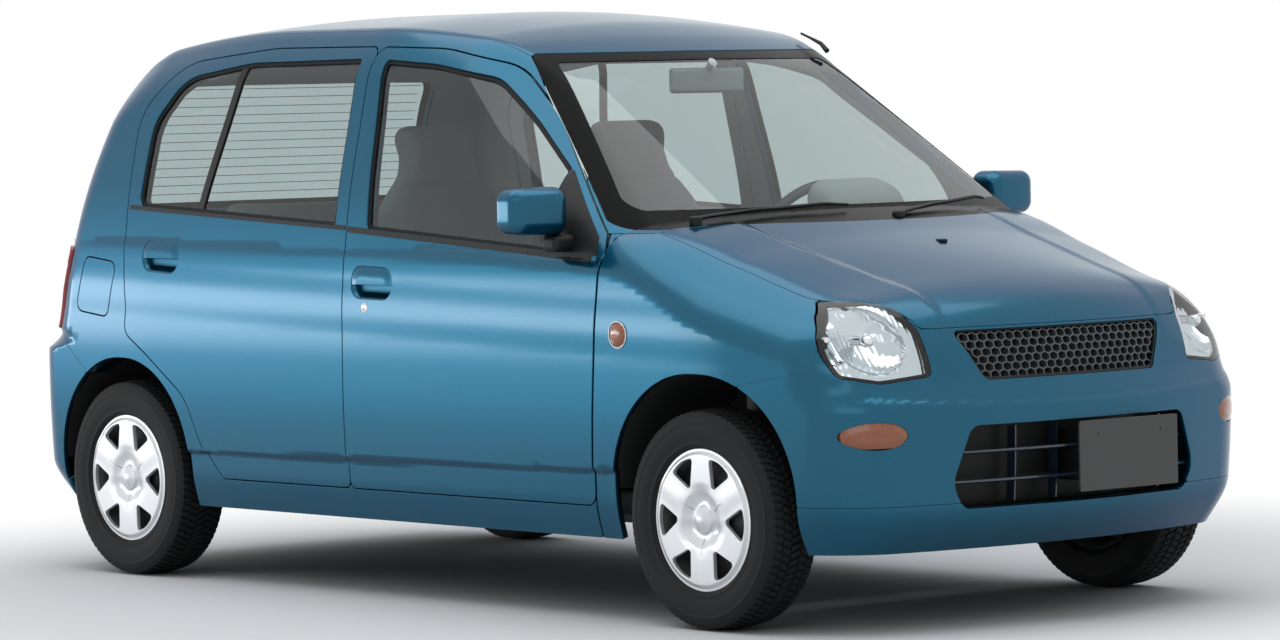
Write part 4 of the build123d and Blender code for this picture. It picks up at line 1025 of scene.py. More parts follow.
def make_doors():
    """Skin and pane of each side door; the right ones mirror the left."""
    for door, window, handle in (("front_door", "front_window", "front_handle"),
                                 ("rear_door", "rear_window", "rear_handle")):
        region = inside_all(shrunk(level(door), shut_half()), outside(level(window), 0.0),
                            beyond(1, SILL_Y, 1.0))
        skin = Panel()
        shell(skin, cut(cut(body(), region), outside(level(handle), 0.0)),
              thinned(side_wall(), *DOOR_THIN) if door == "front_door" else side_wall(), (0, 0, 1))
        pane = Panel()
        shell(pane, cut(body(), inside_all(shrunk(level(window), -3.0), beyond(1, SILL_Y, 1.0))), 4.0,
              (0, 0, 0), lift=-10.0, edge_round=0.2)
        for side, mirror in SIDES:
            piece = skin.object(f"{door}_skin_{side}", [FINISHES["paint"], FINISHES["trim"]], mirror)
            dress(piece, f"{door}_{side}", "paint", f"{door}_{side}")
        for side, mirror in SIDES:
            piece = pane.object(f"{door}_pane_{side}", [FINISHES["glass"]], mirror)
            dress(piece, f"{door}_{side}", "glass", f"{door}_glass_{side}")


def make_body_sides():
    """Body side skins, and the fuel lid in the right one."""
    keep = inside_all(
        outside(level("front_door"), shut_half()), outside(level("rear_door"), shut_half()),
        outside(level("front_arch")), outside(level("rear_arch")),
        outside(level("rear_bumper"), joint_half()), outside(level("tail_lamp"), joint_half()),
        outside(level("fender_rear"), joint_half()),
        outside(inside_all(level("tailgate"), beyond(0, -1230.0, -1.0)), 0.0),
        outside(inside_all(level("windshield"), beyond(0, SHIELD_X, 1.0)), joint_half()),
        outside(inside_all(level("roof"), beyond(2, 1300.0, 1.0)), joint_half()),
        beyond(2, SILL_BOTTOM, 1.0), beyond(1, SILL_Y, 1.0), beyond(0, 900.0, -1.0))
    left = cut(body(), keep)
    right = cut(left, outside(level("fuel_lid"), shut_half()))
    for net, (side, mirror) in zip((left, right), SIDES):
        panel = Panel()
        shell(panel, net, thinned(side_wall(), *PILLAR_THIN), (0, 0, 1))
        piece = panel.object(f"body_side_skin_{side}", [FINISHES["paint"], FINISHES["trim"]], mirror)
        dress(piece, "body", "paint", f"body_side_{side}")
    lid = Panel()
    region = inside_all(shrunk(level("fuel_lid"), shut_half()), beyond(1, 500.0, 1.0))
    shell(lid, cut(body(), region), 8.0, (0, 0, 0))
    dress(lid.object("fuel_lid_skin", [FINISHES["paint"]], True), "fuel_lid", "paint", "fuel_lid")


def centre_panel(name, region, depth, body_name, slot, nodes, finishes=("paint", "trim"), lift=0.0,
                 seam=None):
    """One object across the middle of the car, in two parts where a seam height is given."""
    panel = Panel()
    parts = [region] if seam is None else [inside_all(region, beyond(2, seam + joint_half(), 1.0)),
                                           inside_all(region, beyond(2, seam - joint_half(), -1.0))]
    for part in parts:
        shell(panel, cut(body(), part), depth, (0, 0, len(finishes) - 1), lift=lift, centre=True)
    piece = panel.object(name, [FINISHES[key] for key in finishes])
    return dress(piece, body_name, slot, *nodes)


def pair_panel(name, region, depth, body_name, slot, nodes, finishes=("paint",), lift=0.0):
    """Left and right copies of a piece on one body, kept as one object."""
    panel = Panel()
    net = cut(body(), region)
    shell(panel, net, depth, (0, 0, len(finishes) - 1), lift=lift)
    points = np.concatenate(panel.points) * (1, -1, 1)
    normals = np.concatenate(panel.normals) * (1, -1, 1)
    faces = [face[::-1] for face in panel.faces]
    panel.add(points, faces, list(panel.finish), normals)
    piece = panel.object(name, [FINISHES[key] for key in finishes])
    return dress(piece, body_name, slot, *nodes)


def make_outer_panels():
    """Roof, fenders, hood, bumpers, tailgate, tail lamps and windshield."""
    shield = inside_all(level("windshield"), beyond(0, SHIELD_X, 1.0))
    lamp, grille, opening, signal = (inside_all(level(key), beyond(0, NOSE_X, 1.0))
                                     for key in ("headlamp", "grille", "opening", "signal"))
    off_hood = outside(hood_region(shut_half()))
    roof = inside_all(shrunk(level("roof"), joint_half()), beyond(2, 1300.0, 1.0),
                      outside(shield, joint_half()))
    centre_panel("roof_skin", roof, 34.0, "body", "paint", ["roof_panel"])
    fenders = inside_all(level("fender"), off_hood, outside(lamp, joint_half()), outside(level("front_arch")),
                         beyond(1, 500.0, 1.0), outside(inside_all(level("cowl"), beyond(2, 800.0, 1.0))))
    pair_panel("front_fender_skins", fenders, 16.0, "body", "paint", ["front_fenders"])
    centre_panel("hood_skin", hood_region(0.0), 20.0, "hood", "paint", ["hood"], ("paint", "chassis"))
    front = inside_all(shrunk(level("bumper"), joint_half()), off_hood, outside(lamp, joint_half()),
                       outside(grille), outside(opening), outside(signal), outside(level("front_arch")),
                       beyond(2, 190.0, 1.0), beyond(0, 1200.0, 1.0))
    centre_panel("front_bumper_skin", front, 18.0, "body", "paint", ["front_bumper"], ("paint", "black"),
                 seam=LIP_HEIGHT)
    rear = inside_all(shrunk(level("rear_bumper"), joint_half()), outside(level("rear_arch")))
    centre_panel("rear_bumper_skin", rear, 18.0, "body", "paint", ["rear_bumper"], ("paint", "black"))
    gate = inside_all(shrunk(level("tailgate"), 5.0), beyond(0, -1262.0, -1.0),
                      outside(level("tailgate_window")))
    centre_panel("tailgate_skin", gate, 40.0, "tailgate", "paint", ["tailgate"])
    gate_window = inside_all(shrunk(level("tailgate_window"), 0.3), beyond(0, -1100.0, -1.0))
    centre_panel("tailgate_pane", gate_window, 4.0, "tailgate", "glass", ["tailgate_glass"], ("glass",),
                 lift=-6.0)
    tail_lamps = inside_all(shrunk(level("tail_lamp"), joint_half()), beyond(1, 605.0, 1.0))
    pair_panel("tail_lamp_lenses", tail_lamps, 30.0, "body", "red", ["tail_lamps"], ("red",), lift=9.0)
    window = inside_all(shrunk(level("windshield"), 1.0), beyond(0, SHIELD_X, 1.0))
    centre_panel("windshield_pane", window, 4.5, "body", "glass", ["windshield"], ("glass",), lift=-3.0)


# ---------------------------------------------------------------------------
# Shared shapes
# ---------------------------------------------------------------------------
def finished(name, panel, finishes, body_name, slot, nodes=(), sharp=35.0, mirror=False):
    """One object from a Panel, creased at its sharp edges, riding on a body."""
    piece = panel.object(name, [FINISHES[key] for key in finishes], mirror)
    if not any(np.any(rows) for rows in panel.normals):
        piece.data.set_sharp_from_angle(angle=math.radians(sharp))
    return dress(piece, body_name, slot, *nodes)


def soft_block(low, high, radius, steps=4, middle=1):
    """Points and faces of a block with round edges and corners."""
    low, high = np.array(low, float), np.array(high, float)
    half, centre = (high - low) / 2, (high + low) / 2
    radius = min(radius, half.min() * 0.98)
    arc = radius * np.tan(np.linspace(0.0, math.pi / 4, steps + 1))
    lines = []
    for k in range(3):
        inner = half[k] - radius
        flat = np.linspace(-inner, inner, middle + 1)
        lines.append(np.concatenate([-(inner + arc)[:0:-1], flat, (inner + arc)[1:]]))
    points, faces, size = [], [], 0
    for axis in range(3):
        u, v = (axis + 1) % 3, (axis + 2) % 3
        nu, nv = len(lines[u]), len(lines[v])
        for sign in (-1.0, 1.0):
            side = np.zeros((nu, nv, 3))
            side[..., axis] = sign * half[axis]
            side[..., u] = lines[u][:, None]
            side[..., v] = lines[v][None, :]
            points.append(side.reshape(-1, 3))
            i, j = np.meshgrid(range(nu - 1), range(nv - 1), indexing="ij")
            a = size + (i * nv + j).ravel()
            quad = np.stack([a, a + nv, a + nv + 1, a + 1], axis=1)
            faces.append(quad if sign > 0 else quad[:, ::-1])
            size += nu * nv
    points = np.concatenate(points)
    core = np.clip(points, radius - half, half - radius)
    away = points - core
    points = core + radius * away / np.linalg.norm(away, axis=1, keepdims=True)
    _, first, inverse = np.unique(np.round(points, 3), axis=0, return_index=True, return_inverse=True)
    return points[first] + centre, inverse.reshape(-1)[np.concatenate(faces)]


def tube(path, radius, sides=12, flat=1.0):
    """Closed round bar along a path; flat squeezes it across its second direction."""
    path = np.array(path, float)
    radius = np.broadcast_to(radius, len(path)).astype(float)
    along = np.gradient(path, axis=0)
    along /= np.linalg.norm(along, axis=1, keepdims=True)
    up = np.array((0.0, 0.0, 1.0)) if abs(along[0, 2]) < 0.9 else np.array((1.0, 0.0, 0.0))
    rings = []
    turn = np.arange(sides) * 2 * math.pi / sides
    for place, way, size in zip(path, along, radius):
        side = np.cross(up, way)
        side /= np.linalg.norm(side)
        up = np.cross(way, side)
        rings.append(place + size * (np.cos(turn)[:, None] * side + flat * np.sin(turn)[:, None] * up))
    points = np.concatenate(rings + [path[:1], path[-1:]])
    faces = []
    for k in range(len(path) - 1):
        for i in range(sides):
            j = (i + 1) % sides
            faces.append((k * sides + i, k * sides + j, (k + 1) * sides + j, (k + 1) * sides + i))
    last, base = (len(path) - 1) * sides, len(path) * sides
    for i in range(sides):
        j = (i + 1) % sides
        faces.append((base, j, i))
        faces.append((base + 1, last + i, last + j))
    return points, faces


def turned(rows, steps, closed=False):
    """Surface turned about the y axis from (offset, radius) rows listed from the hub outwards."""
    rows = np.array(rows, float)
    turn = np.arange(steps) * 2 * math.pi / steps
    points = np.stack([rows[:, None, 1] * np.cos(turn), np.broadcast_to(rows[:, None, 0], (len(rows), steps)),
                       rows[:, None, 1] * np.sin(turn)], axis=-1).reshape(-1, 3)
    faces = []
    count = len(rows) if closed else len(rows) - 1
    for k in range(count):
        m = (k + 1) % len(rows)
        for i in range(steps):
            j = (i + 1) % steps
            faces.append((k * steps + i, k * steps + j, m * steps + j, m * steps + i))
    return points, faces


def slab(panel, points, tris, thickness, finishes=(0, 0, 0), edge_round=1.0, direction=(0.0, -1.0, 0.0)):
    """A sheet net given a thickness along one direction, with a small round at its front edge."""
    direction = np.array(direction)
    edges, rim, place, out = rim_of(points, tris, np.broadcast_to(-direction, points.shape))
    lip = points[rim] + out * edge_round + direction * edge_round
    low = points + direction * thickness
    low[rim] += out * edge_round
    first_lip = len(points)
    first_low = first_lip + len(rim)
    faces = []
    for i, j in edges.tolist():
        p, q = first_lip + place[i], first_lip + place[j]
        faces += [(j, i, p, q), (q, p, first_low + i, first_low + j)]
    finish = [finishes[0]] * len(tris) + [finishes[1]] * len(faces) + [finishes[2]] * len(tris)
    faces = tris.tolist() + faces + (tris[:, ::-1] + first_low).tolist()
    panel.add(np.concatenate([points, lip, low]), faces, finish)


def flat_net(low, high, step):
    """Triangles of an even grid in a plane: rows of (u, v)."""
    us = np.linspace(low[0], high[0], max(2, int(round((high[0] - low[0]) / step)) + 1))
    vs = np.linspace(low[1], high[1], max(2, int(round((high[1] - low[1]) / step)) + 1))
    grid = np.stack(np.meshgrid(us, vs, indexing="ij"), axis=-1).reshape(-1, 2)
    i, j = np.meshgrid(range(len(us) - 1), range(len(vs) - 1), indexing="ij")
    a = (i * len(vs) + j).ravel()
    b = a + len(vs)
    return grid, np.concatenate([np.stack([a, b, b + 1], axis=1), np.stack([a, b + 1, a + 1], axis=1)])


def patch(plane, name_or_level, low, high, step):
    """Fine net of a small area of the body skin, drawn from the front or the side and cut by a level."""
    region = level(name_or_level) if isinstance(name_or_level, str) else name_or_level
    uv, tris = flat_net(low, high, step)
    axis = {"front": 0, "side": 1}[plane]
    points = np.zeros((len(uv), 3))
    points[:, [k for k in range(3) if k != axis]] = uv
    points[:, axis] = {"front": NOSE - 60.0, "side": HALF_WIDTH}[plane]
    points, tris = cut((points, tris), region)
    if plane == "side":
        tris = tris[:, ::-1]
    return slid(points, axis), tris


def both_sides(panel):
    """Adds the mirrored copy of everything in a panel."""
    points = np.concatenate(panel.points)
    normals = np.concatenate(panel.normals)
    faces = [tuple(face[::-1]) for face in panel.faces]
    panel.add(points * (1, -1, 1), faces, list(panel.finish), normals * (1, -1, 1))
    return panel


def node_tree(name, inputs):
    """A Geometry Nodes group with a geometry input and output and the given inputs."""
    tree = bpy.data.node_groups.new(name, "GeometryNodeTree")
    tree.interface.new_socket("Geometry", in_out="INPUT", socket_type="NodeSocketGeometry")
    for key, kind, value in inputs:
        made = tree.interface.new_socket(key, in_out="INPUT", socket_type=kind)
        made.default_value = value
    tree.interface.new_socket("Geometry", in_out="OUTPUT", socket_type="NodeSocketGeometry")
    return tree, tree.nodes.new("NodeGroupInput"), tree.nodes.new("NodeGroupOutput")


def repeated(points, faces, tree, **values):
    """Runs a Geometry Nodes group on a small mesh and returns the points and faces it makes."""
    mesh = bpy.data.meshes.new("unit")
    mesh.from_pydata((np.asarray(points) * MM).tolist(), [], [tuple(map(int, face)) for face in faces])
    unit = bpy.data.objects.new("unit", mesh)
    bpy.context.scene.collection.objects.link(unit)
    modifier = unit.modifiers.new("repeat", "NODES")
    modifier.node_group = tree
    sockets = {item.name: item.identifier for item in tree.interface.items_tree if item.in_out == "INPUT"}
    for key, value in values.items():
        modifier[sockets[key.replace("_", " ")]] = value
    bpy.context.view_layer.update()
    made = worked_out(unit)
    out = places(made) / MM
    found = [tuple(face.vertices) for face in made.polygons]
    bpy.data.objects.remove(unit)
    bpy.data.meshes.remove(made)
    return out, found


def ring_tree():
    """Copies evenly round the y axis."""
    tree, start, end = node_tree("ring_repeat", [("Count", "NodeSocketInt", 12)])
    line = node(tree, "GeometryNodeMeshLine", {"Count": start.outputs["Count"]})
    line.inputs["Offset"].default_value = (0.0, 0.0, 0.0)
    index = node(tree, "GeometryNodeInputIndex")
    share = node(tree, "ShaderNodeMath", {0: index.outputs[0], 1: start.outputs["Count"]}, operation="DIVIDE")
    angle = node(tree, "ShaderNodeMath", {0: share.outputs[0]}, operation="MULTIPLY")
    angle.inputs[1].default_value = 2 * math.pi
    euler = node(tree, "ShaderNodeCombineXYZ", {"Y": angle.outputs[0]})
    turn = node(tree, "FunctionNodeEulerToRotation", {"Euler": euler.outputs[0]})
    copies = node(tree, "GeometryNodeInstanceOnPoints",
                  {"Points": line.outputs["Mesh"], "Instance": start.outputs["Geometry"],
                   "Rotation": turn.outputs["Rotation"]})
    whole = node(tree, "GeometryNodeRealizeInstances", {"Geometry": copies.outputs["Instances"]})
    tree.links.new(whole.outputs["Geometry"], end.inputs["Geometry"])
    return tree


def comb_tree():
    """Staggered rows of copies in the yz plane, as in a honeycomb."""
    tree, start, end = node_tree("comb_repeat", [
        ("Columns", "NodeSocketInt", 10), ("Rows", "NodeSocketInt", 5),
        ("Pitch", "NodeSocketFloat", 0.02), ("Row Pitch", "NodeSocketFloat", 0.02)])
    total = node(tree, "ShaderNodeMath", {0: start.outputs["Columns"], 1: start.outputs["Rows"]},
                 operation="MULTIPLY")
    line = node(tree, "GeometryNodeMeshLine", {"Count": total.outputs[0]})
    line.inputs["Offset"].default_value = (0.0, 0.0, 0.0)
    index = node(tree, "GeometryNodeInputIndex")
    column = node(tree, "ShaderNodeMath", {0: index.outputs[0], 1: start.outputs["Columns"]},
                  operation="MODULO")
    share = node(tree, "ShaderNodeMath", {0: index.outputs[0], 1: start.outputs["Columns"]},
                 operation="DIVIDE")
    row = node(tree, "ShaderNodeMath", {0: share.outputs[0]}, operation="FLOOR")
    odd = node(tree, "ShaderNodeMath", {0: row.outputs[0]}, operation="MODULO")
    odd.inputs[1].default_value = 2.0
    half = node(tree, "ShaderNodeMath", {0: odd.outputs[0]}, operation="MULTIPLY")
    half.inputs[1].default_value = 0.5
    shifted = node(tree, "ShaderNodeMath", {0: column.outputs[0], 1: half.outputs[0]}, operation="ADD")
    y = node(tree, "ShaderNodeMath", {0: shifted.outputs[0], 1: start.outputs["Pitch"]}, operation="MULTIPLY")
    z = node(tree, "ShaderNodeMath", {0: row.outputs[0], 1: start.outputs["Row Pitch"]}, operation="MULTIPLY")
    place = node(tree, "ShaderNodeCombineXYZ", {"Y": y.outputs[0], "Z": z.outputs[0]})
    spread = node(tree, "GeometryNodeSetPosition",
                  {"Geometry": line.outputs["Mesh"], "Position": place.outputs[0]})
    copies = node(tree, "GeometryNodeInstanceOnPoints",
                  {"Points": spread.outputs["Geometry"], "Instance": start.outputs["Geometry"]})
    whole = node(tree, "GeometryNodeRealizeInstances", {"Geometry": copies.outputs["Instances"]})
    tree.links.new(whole.outputs["Geometry"], end.inputs["Geometry"])
    return tree


# ---------------------------------------------------------------------------
# Wheels
# ---------------------------------------------------------------------------
COVER_RADIUS = 168.0
WHEELS = (("front_left", FRONT_AXLE, False), ("front_right", FRONT_AXLE, True),
          ("rear_left", REAR_AXLE, False), ("rear_right", REAR_AXLE, True))
WIDE_SPOKES = (30.0, 150.0, 270.0)
TREAD_PITCHES = 84
TYRE_RADIUS = 262.0
TREAD_CROWN = 261.6        # radius of the blocks on the tyre's middle line
# rows: inner and outer end of one opening beside a wide spoke, degrees from that spoke's middle
OPENING_INNER = (85.0, 27.0, 35.0)
OPENING_OUTER = (150.0, 15.5, 49.5)


def cover_opening(spoke, hand):
    """Outline of one opening beside a wide spoke, in (x, z)."""
    rows = []
    for radius, degrees, corner in (
            (OPENING_INNER[0], OPENING_INNER[1], 7.0), (OPENING_OUTER[0], OPENING_OUTER[1], 9.0),
            (OPENING_OUTER[0] * 1.03, (OPENING_OUTER[1] + OPENING_OUTER[2]) / 2, 90.0),
            (OPENING_OUTER[0], OPENING_OUTER[2], 9.0), (OPENING_INNER[0], OPENING_INNER[2], 7.0)):
        angle = math.radians(spoke + hand * degrees)
        rows.append((radius * math.cos(angle), radius * math.sin(angle), corner))
    return rows


def cover_height(x, z):
    """Outward offset of the wheel cover's face from the wheel's middle plane."""
    r = np.hypot(x, z)
    base = 71.0 - 0.00022 * (r - 105.0) ** 2 - 5.0 * smooth_step(r - 158.0, 5.0)
    cap = 5.5 * smooth_step(33.0 - r, 1.6) + 2.0 * np.clip(1.0 - (r / 33.0) ** 2, 0, 1)
    dish = -9.0 * bump(r - 38.0, 34.0)
    angle = np.degrees(np.arctan2(z, x))
    scoop = np.zeros_like(r)
    for narrow in (90.0, 210.0, 330.0):
        turn = (angle - narrow + 180.0) % 360.0 - 180.0
        scoop -= 5.0 * bump(turn, 34.0) * bump(r - 58.0, 32.0)
    for wide in WIDE_SPOKES:
        turn = (angle - wide + 180.0) % 360.0 - 180.0
        across = r * np.sin(np.radians(np.clip(turn, -80, 80)))
        scoop += 1.2 * bump(across, 34.0) * smooth_step(r - 75.0, 22.0)
    return base + cap + dish + scoop


def slit(spoke):
    """A narrow slot that runs out from the cap along a wide spoke."""
    angle = math.radians(spoke)
    along = np.array((math.cos(angle), math.sin(angle)))
    across = np.array((-math.sin(angle), math.cos(angle)))
    rows = []
    for out, side in ((43.0, -2.6), (86.0, -1.0), (86.0, 1.0), (43.0, 2.6)):
        place = along * out + across * side
        rows.append((place[0], place[1], 0.8))
    return rows


def wheel_cover():
    """Wheel cover in wheel coordinates: x forward, y outward, z up."""
    radii = np.concatenate([np.linspace(0.0, 30.0, 6)[1:], np.linspace(31.0, 36.0, 6),
                            np.linspace(40.0, 152.0, 34), np.linspace(154.0, COVER_RADIUS, 8)])
    steps = 216
    turn = np.arange(steps) * 2 * math.pi / steps
    ring = np.stack([radii[:, None] * np.cos(turn), np.zeros((len(radii), steps)),
                     radii[:, None] * np.sin(turn)], axis=-1).reshape(-1, 3)
    points = np.concatenate([[(0.0, 0.0, 0.0)], ring])
    tris = [(0, 1 + (i + 1) % steps, 1 + i) for i in range(steps)]
    for k in range(len(radii) - 1):
        for i in range(steps):
            j = (i + 1) % steps
            a, b = 1 + k * steps + i, 1 + k * steps + j
            tris += [(a, b, b + steps), (a, b + steps, a + steps)]
    net = (points, np.array(tris))
    for spoke in WIDE_SPOKES:
        for rows in (cover_opening(spoke, 1.0), cover_opening(spoke, -1.0), slit(spoke)):
            hole = seen(rows, "side")
            net = cut(net, outside(hole))
    points, tris = net
    points[:, 1] = cover_height(points[:, 0], points[:, 2])
    panel = Panel()
    slab(panel, points, tris, 11.0, edge_round=1.4)
    return panel


def tread_pitch():
    """The blocks of one pitch of the tread, in wheel coordinates."""
    points, faces = [], []
    angle = 2 * math.pi / TREAD_PITCHES
    for low, high, skew, length, shift in ((-67.0, -42.0, 0.25, 0.74, 0.0), (-38.5, -16.0, 0.45, 0.70, 0.5),
                                           (-12.5, 12.5, -0.5, 0.78, 0.2), (16.0, 38.5, 0.45, 0.70, 0.7),
                                           (42.0, 67.0, 0.25, 0.74, 0.3)):
        base = len(points)
        for ring, drop, inset in ((0, 0.0, 1.4), (1, 1.3, 0.0), (2, 9.0, -0.8)):
            for w, side in ((low, -1), (low, 1), (high, 1), (high, -1)):
                edge = w + (inset if w == low else -inset)
                lean = skew * (w - (low + high) / 2) / 25.0
                turn = (shift + lean + side * (length / 2)) * angle - side * inset / TYRE_RADIUS
                crown = TREAD_CROWN - 3.6 * (edge / 67.0) ** 2 - 3.0 * max(0.0, (abs(edge) - 58.0) / 9.0) ** 2
                r = crown - drop
                points.append((r * math.cos(turn), edge, r * math.sin(turn)))
        faces.append((base, base + 1, base + 2, base + 3))
        for ring in (0, 1):
            for i in range(4):
                j = (i + 1) % 4
                a, b = base + ring * 4 + i, base + ring * 4 + j
                faces.append((b, a, a + 4, b + 4))
    return points, faces


def tyre():
    """Tyre in wheel coordinates."""
    panel = Panel()
    half = [(63.0, 167.0), (66.0, 170.0), (69.5, 173.0), (71.5, 177.0), (73.5, 178.5), (74.0, 182.0),
            (73.2, 185.5), (74.0, 190.0), (76.0, 200.0), (77.0, 211.0), (76.6, 222.0), (75.6, 229.0),
            (76.2, 230.5), (75.9, 232.5), (75.0, 234.0), (73.5, 240.0), (71.0, 246.5), (68.5, 251.0),
            (65.5, 254.0), (50.0, 254.8), (25.0, 255.3), (0.0, 255.5)]
    rows = half + [(-w, r) for w, r in half[-2::-1]] + [(-60.0, 164.0), (60.0, 164.0)]
    panel.add(*turned(rows[::-1], 128, closed=True), 0)
    points, faces = repeated(*tread_pitch(), ring_tree(), Count=TREAD_PITCHES)
    panel.add(points, faces, 0)
    return panel


def wheel_back():
    """The steel rim and disc that show behind the cover's openings."""
    panel = Panel()
    barrel = [(62.0, 160.0), (48.0, 152.0), (20.0, 140.0), (-40.0, 146.0), (-62.0, 156.0), (-66.0, 164.0),
              (-60.0, 164.5), (-38.0, 150.0), (22.0, 144.0), (50.0, 156.0), (60.0, 164.5)]
    panel.add(*turned(barrel, 96, closed=True), 0)
    disc = [(30.0, 0.4), (30.0, 44.0), (40.0, 62.0), (42.0, 92.0), (28.0, 120.0), (24.0, 143.0),
            (20.0, 143.0), (22.0, 118.0), (35.0, 92.0), (33.0, 62.0), (24.0, 44.0), (24.0, 0.4)]
    panel.add(*turned(disc[::-1], 72), 1)
    return panel


def make_wheels():
    """Cover, steel rim and tyre of each wheel."""
    cover, rubber, back = wheel_cover(), tyre(), wheel_back()
    for name, x, mirror in WHEELS:
        body_name = "wheel_" + name
        for kind, source, finishes, slot, nodes in (
                ("cover", cover, ("silver",), "silver", (f"wheel_{name}",)),
                ("rim", back, ("steel", "steel"), "steel", ()),
                ("tyre", rubber, ("tyre",), "tyre", (f"tyre_{name}",))):
            placed = Panel()
            points = np.concatenate(source.points) + (x, TRACK_HALF, AXLE_HEIGHT)
            placed.add(points, source.faces, list(source.finish))
            label = {"cover": "wheel_cover", "rim": "steel_wheel", "tyre": "tread_tyre"}[kind]
            finished(f"{label}_{name}", placed, finishes, body_name, slot, nodes,
                     sharp=40.0 if kind != "tyre" else 32.0, mirror=mirror)


# ---------------------------------------------------------------------------
# Front: headlamps, grille, signals, air opening and plate
# ---------------------------------------------------------------------------
# corners, in (y, z), of the area that a lamp or the grille is drawn in
HEADLAMP_BOX = ((415.0, 580.0), (685.0, 790.0))
GRILLE_BOX = ((-355.0, 578.0), (355.0, 708.0))


def make_headlamps():
    """Lenses, seals, reflectors and bulbs of both headlamps."""
    edge = level("headlamp")
    fine = patch("front", shrunk(edge, 1.2), *HEADLAMP_BOX, 7.0)
    lens = Panel()
    shell(lens, fine, 2.5, (0, 0, 0), lift=-0.5, edge_round=0.8)
    finished("headlamp_lenses", both_sides(lens), ("lens",), "body", "lens", ("headlamps",))
    seal = Panel()
    ring = cut(fine, outside(shrunk(edge, 8.5)))
    shell(seal, ring, 22.0, (0, 0, 0), lift=-4.0, edge_round=0.8)
    finished("headlamp_seals", both_sides(seal), ("gloss_black",), "body", "black")
    points, tris = patch("front", shrunk(edge, 7.0), *HEADLAMP_BOX, 3.0)
    y, z = points[:, 1], points[:, 2]
    bowl = np.hypot((y - 548.0) / 78.0, (z - 684.0) / 78.0)
    side = np.hypot((y - 640.0) / 42.0, (z - 690.0) / 60.0)
    main_depth = 62.0 * np.sqrt(np.clip(1.0 - bowl ** 2, 0.0, 1.0)) ** 1.3
    side_depth = 34.0 * np.sqrt(np.clip(1.0 - side ** 2, 0.0, 1.0))
    flutes = 2.2 * np.abs((y / 11.0) % 1.0 - 0.5) + 1.2 * np.abs((z / 26.0) % 1.0 - 0.5)
    inward = np.stack([np.full(len(y), -0.94), np.full(len(y), -0.30), np.full(len(y), -0.05)], axis=1)
    inward /= np.linalg.norm(inward, axis=1, keepdims=True)
    points = points + inward * (13.0 + np.maximum(main_depth, side_depth) + flutes)[:, None]
    mirror = Panel()
    mirror.add(points, tris, 0)
    finished("headlamp_reflectors", both_sides(mirror), ("reflector",), "body", "lens", sharp=12.0)
    bulb = Panel()
    bulb.add(*soft_block((1478.0, 534.0, 670.0), (1512.0, 562.0, 698.0), 13.9, 5), 0)
    bulb.add(*tube([(1440.0, 545.0, 684.0), (1480.0, 548.0, 684.0)], 11.0), 0)
    bulb.add(*tube([(1405.0, 622.0, 690.0), (1450.0, 632.0, 690.0)], (8.0, 7.0)), 0)
    finished("headlamp_bulbs", both_sides(bulb), ("chrome",), "body", "lens")


def hexagon(half_width, half_height, wall, depth):
    """One cell of the honeycomb: a hexagonal tube pointing along x."""
    points = []
    for x in (0.0, -depth):
        for scale in (1.0, 1.0 - wall / half_width):
            for k in range(6):
                angle = math.radians(60.0 * k + 30.0)
                points.append((x, scale * half_width * math.cos(angle) / math.cos(math.radians(30.0)),
                               scale * half_height * math.sin(angle)))
    faces = []
    for k in range(6):
        m = (k + 1) % 6
        faces.append((k, m, 6 + m, 6 + k))
        faces.append((6 + k, 6 + m, 18 + m, 18 + k))
        faces.append((12 + m, 12 + k, 18 + k, 18 + m))
    return points, faces


def make_grille():
    """Honeycomb of the grille with its frame and backing."""
    pitch, row_pitch = millimetres(sizes().honeycomb_pitch), 17.6
    unit = hexagon(pitch / 2 + 0.1, row_pitch * 2 / 3 + 0.1, 1.9, 16.0)
    points, faces = repeated(*unit, comb_tree(), Columns=28, Rows=9, Pitch=pitch * MM,
                             Row_Pitch=row_pitch * MM)
    points = points + (0.0, -27.0 * pitch / 2, 577.0)
    edge = level("grille")
    out = edge(points)
    kept = [face for face in faces if all(out[i] < -2.0 for i in face)]
    points[:, 0] = nose_x(points[:, 1], points[:, 2]) - 9.0 + points[:, 0]
    panel = Panel()
    used, inverse = np.unique(np.array(kept), return_inverse=True)
    panel.add(points[used], inverse.reshape(-1, 4), 0)
    finished("grille_honeycomb", panel, ("grille",), "body", "grille", ("grille",))
    frame_net = patch("front", inside_all(shrunk(edge, 0.8), outside(shrunk(edge, 5.5))), *GRILLE_BOX, 6.0)
    ring = Panel()
    slab(ring, frame_net[0] + (-5.0, 0.0, 0.0), frame_net[1], 18.0, edge_round=1.0,
         direction=(-1.0, 0.0, 0.0))
    finished("grille_frame", ring, ("black",), "body", "black")
    back = patch("front", shrunk(edge, 1.0), *GRILLE_BOX, 25.0)
    sheet = Panel()
    slab(sheet, back[0] + (-30.0, 0.0, 0.0), back[1], 2.0, edge_round=0.3, direction=(-1.0, 0.0, 0.0))
    finished("grille_back", sheet, ("black",), "body", "black")


MARKER = (827.0, 693.0)        # x and height of the round marker on a fender


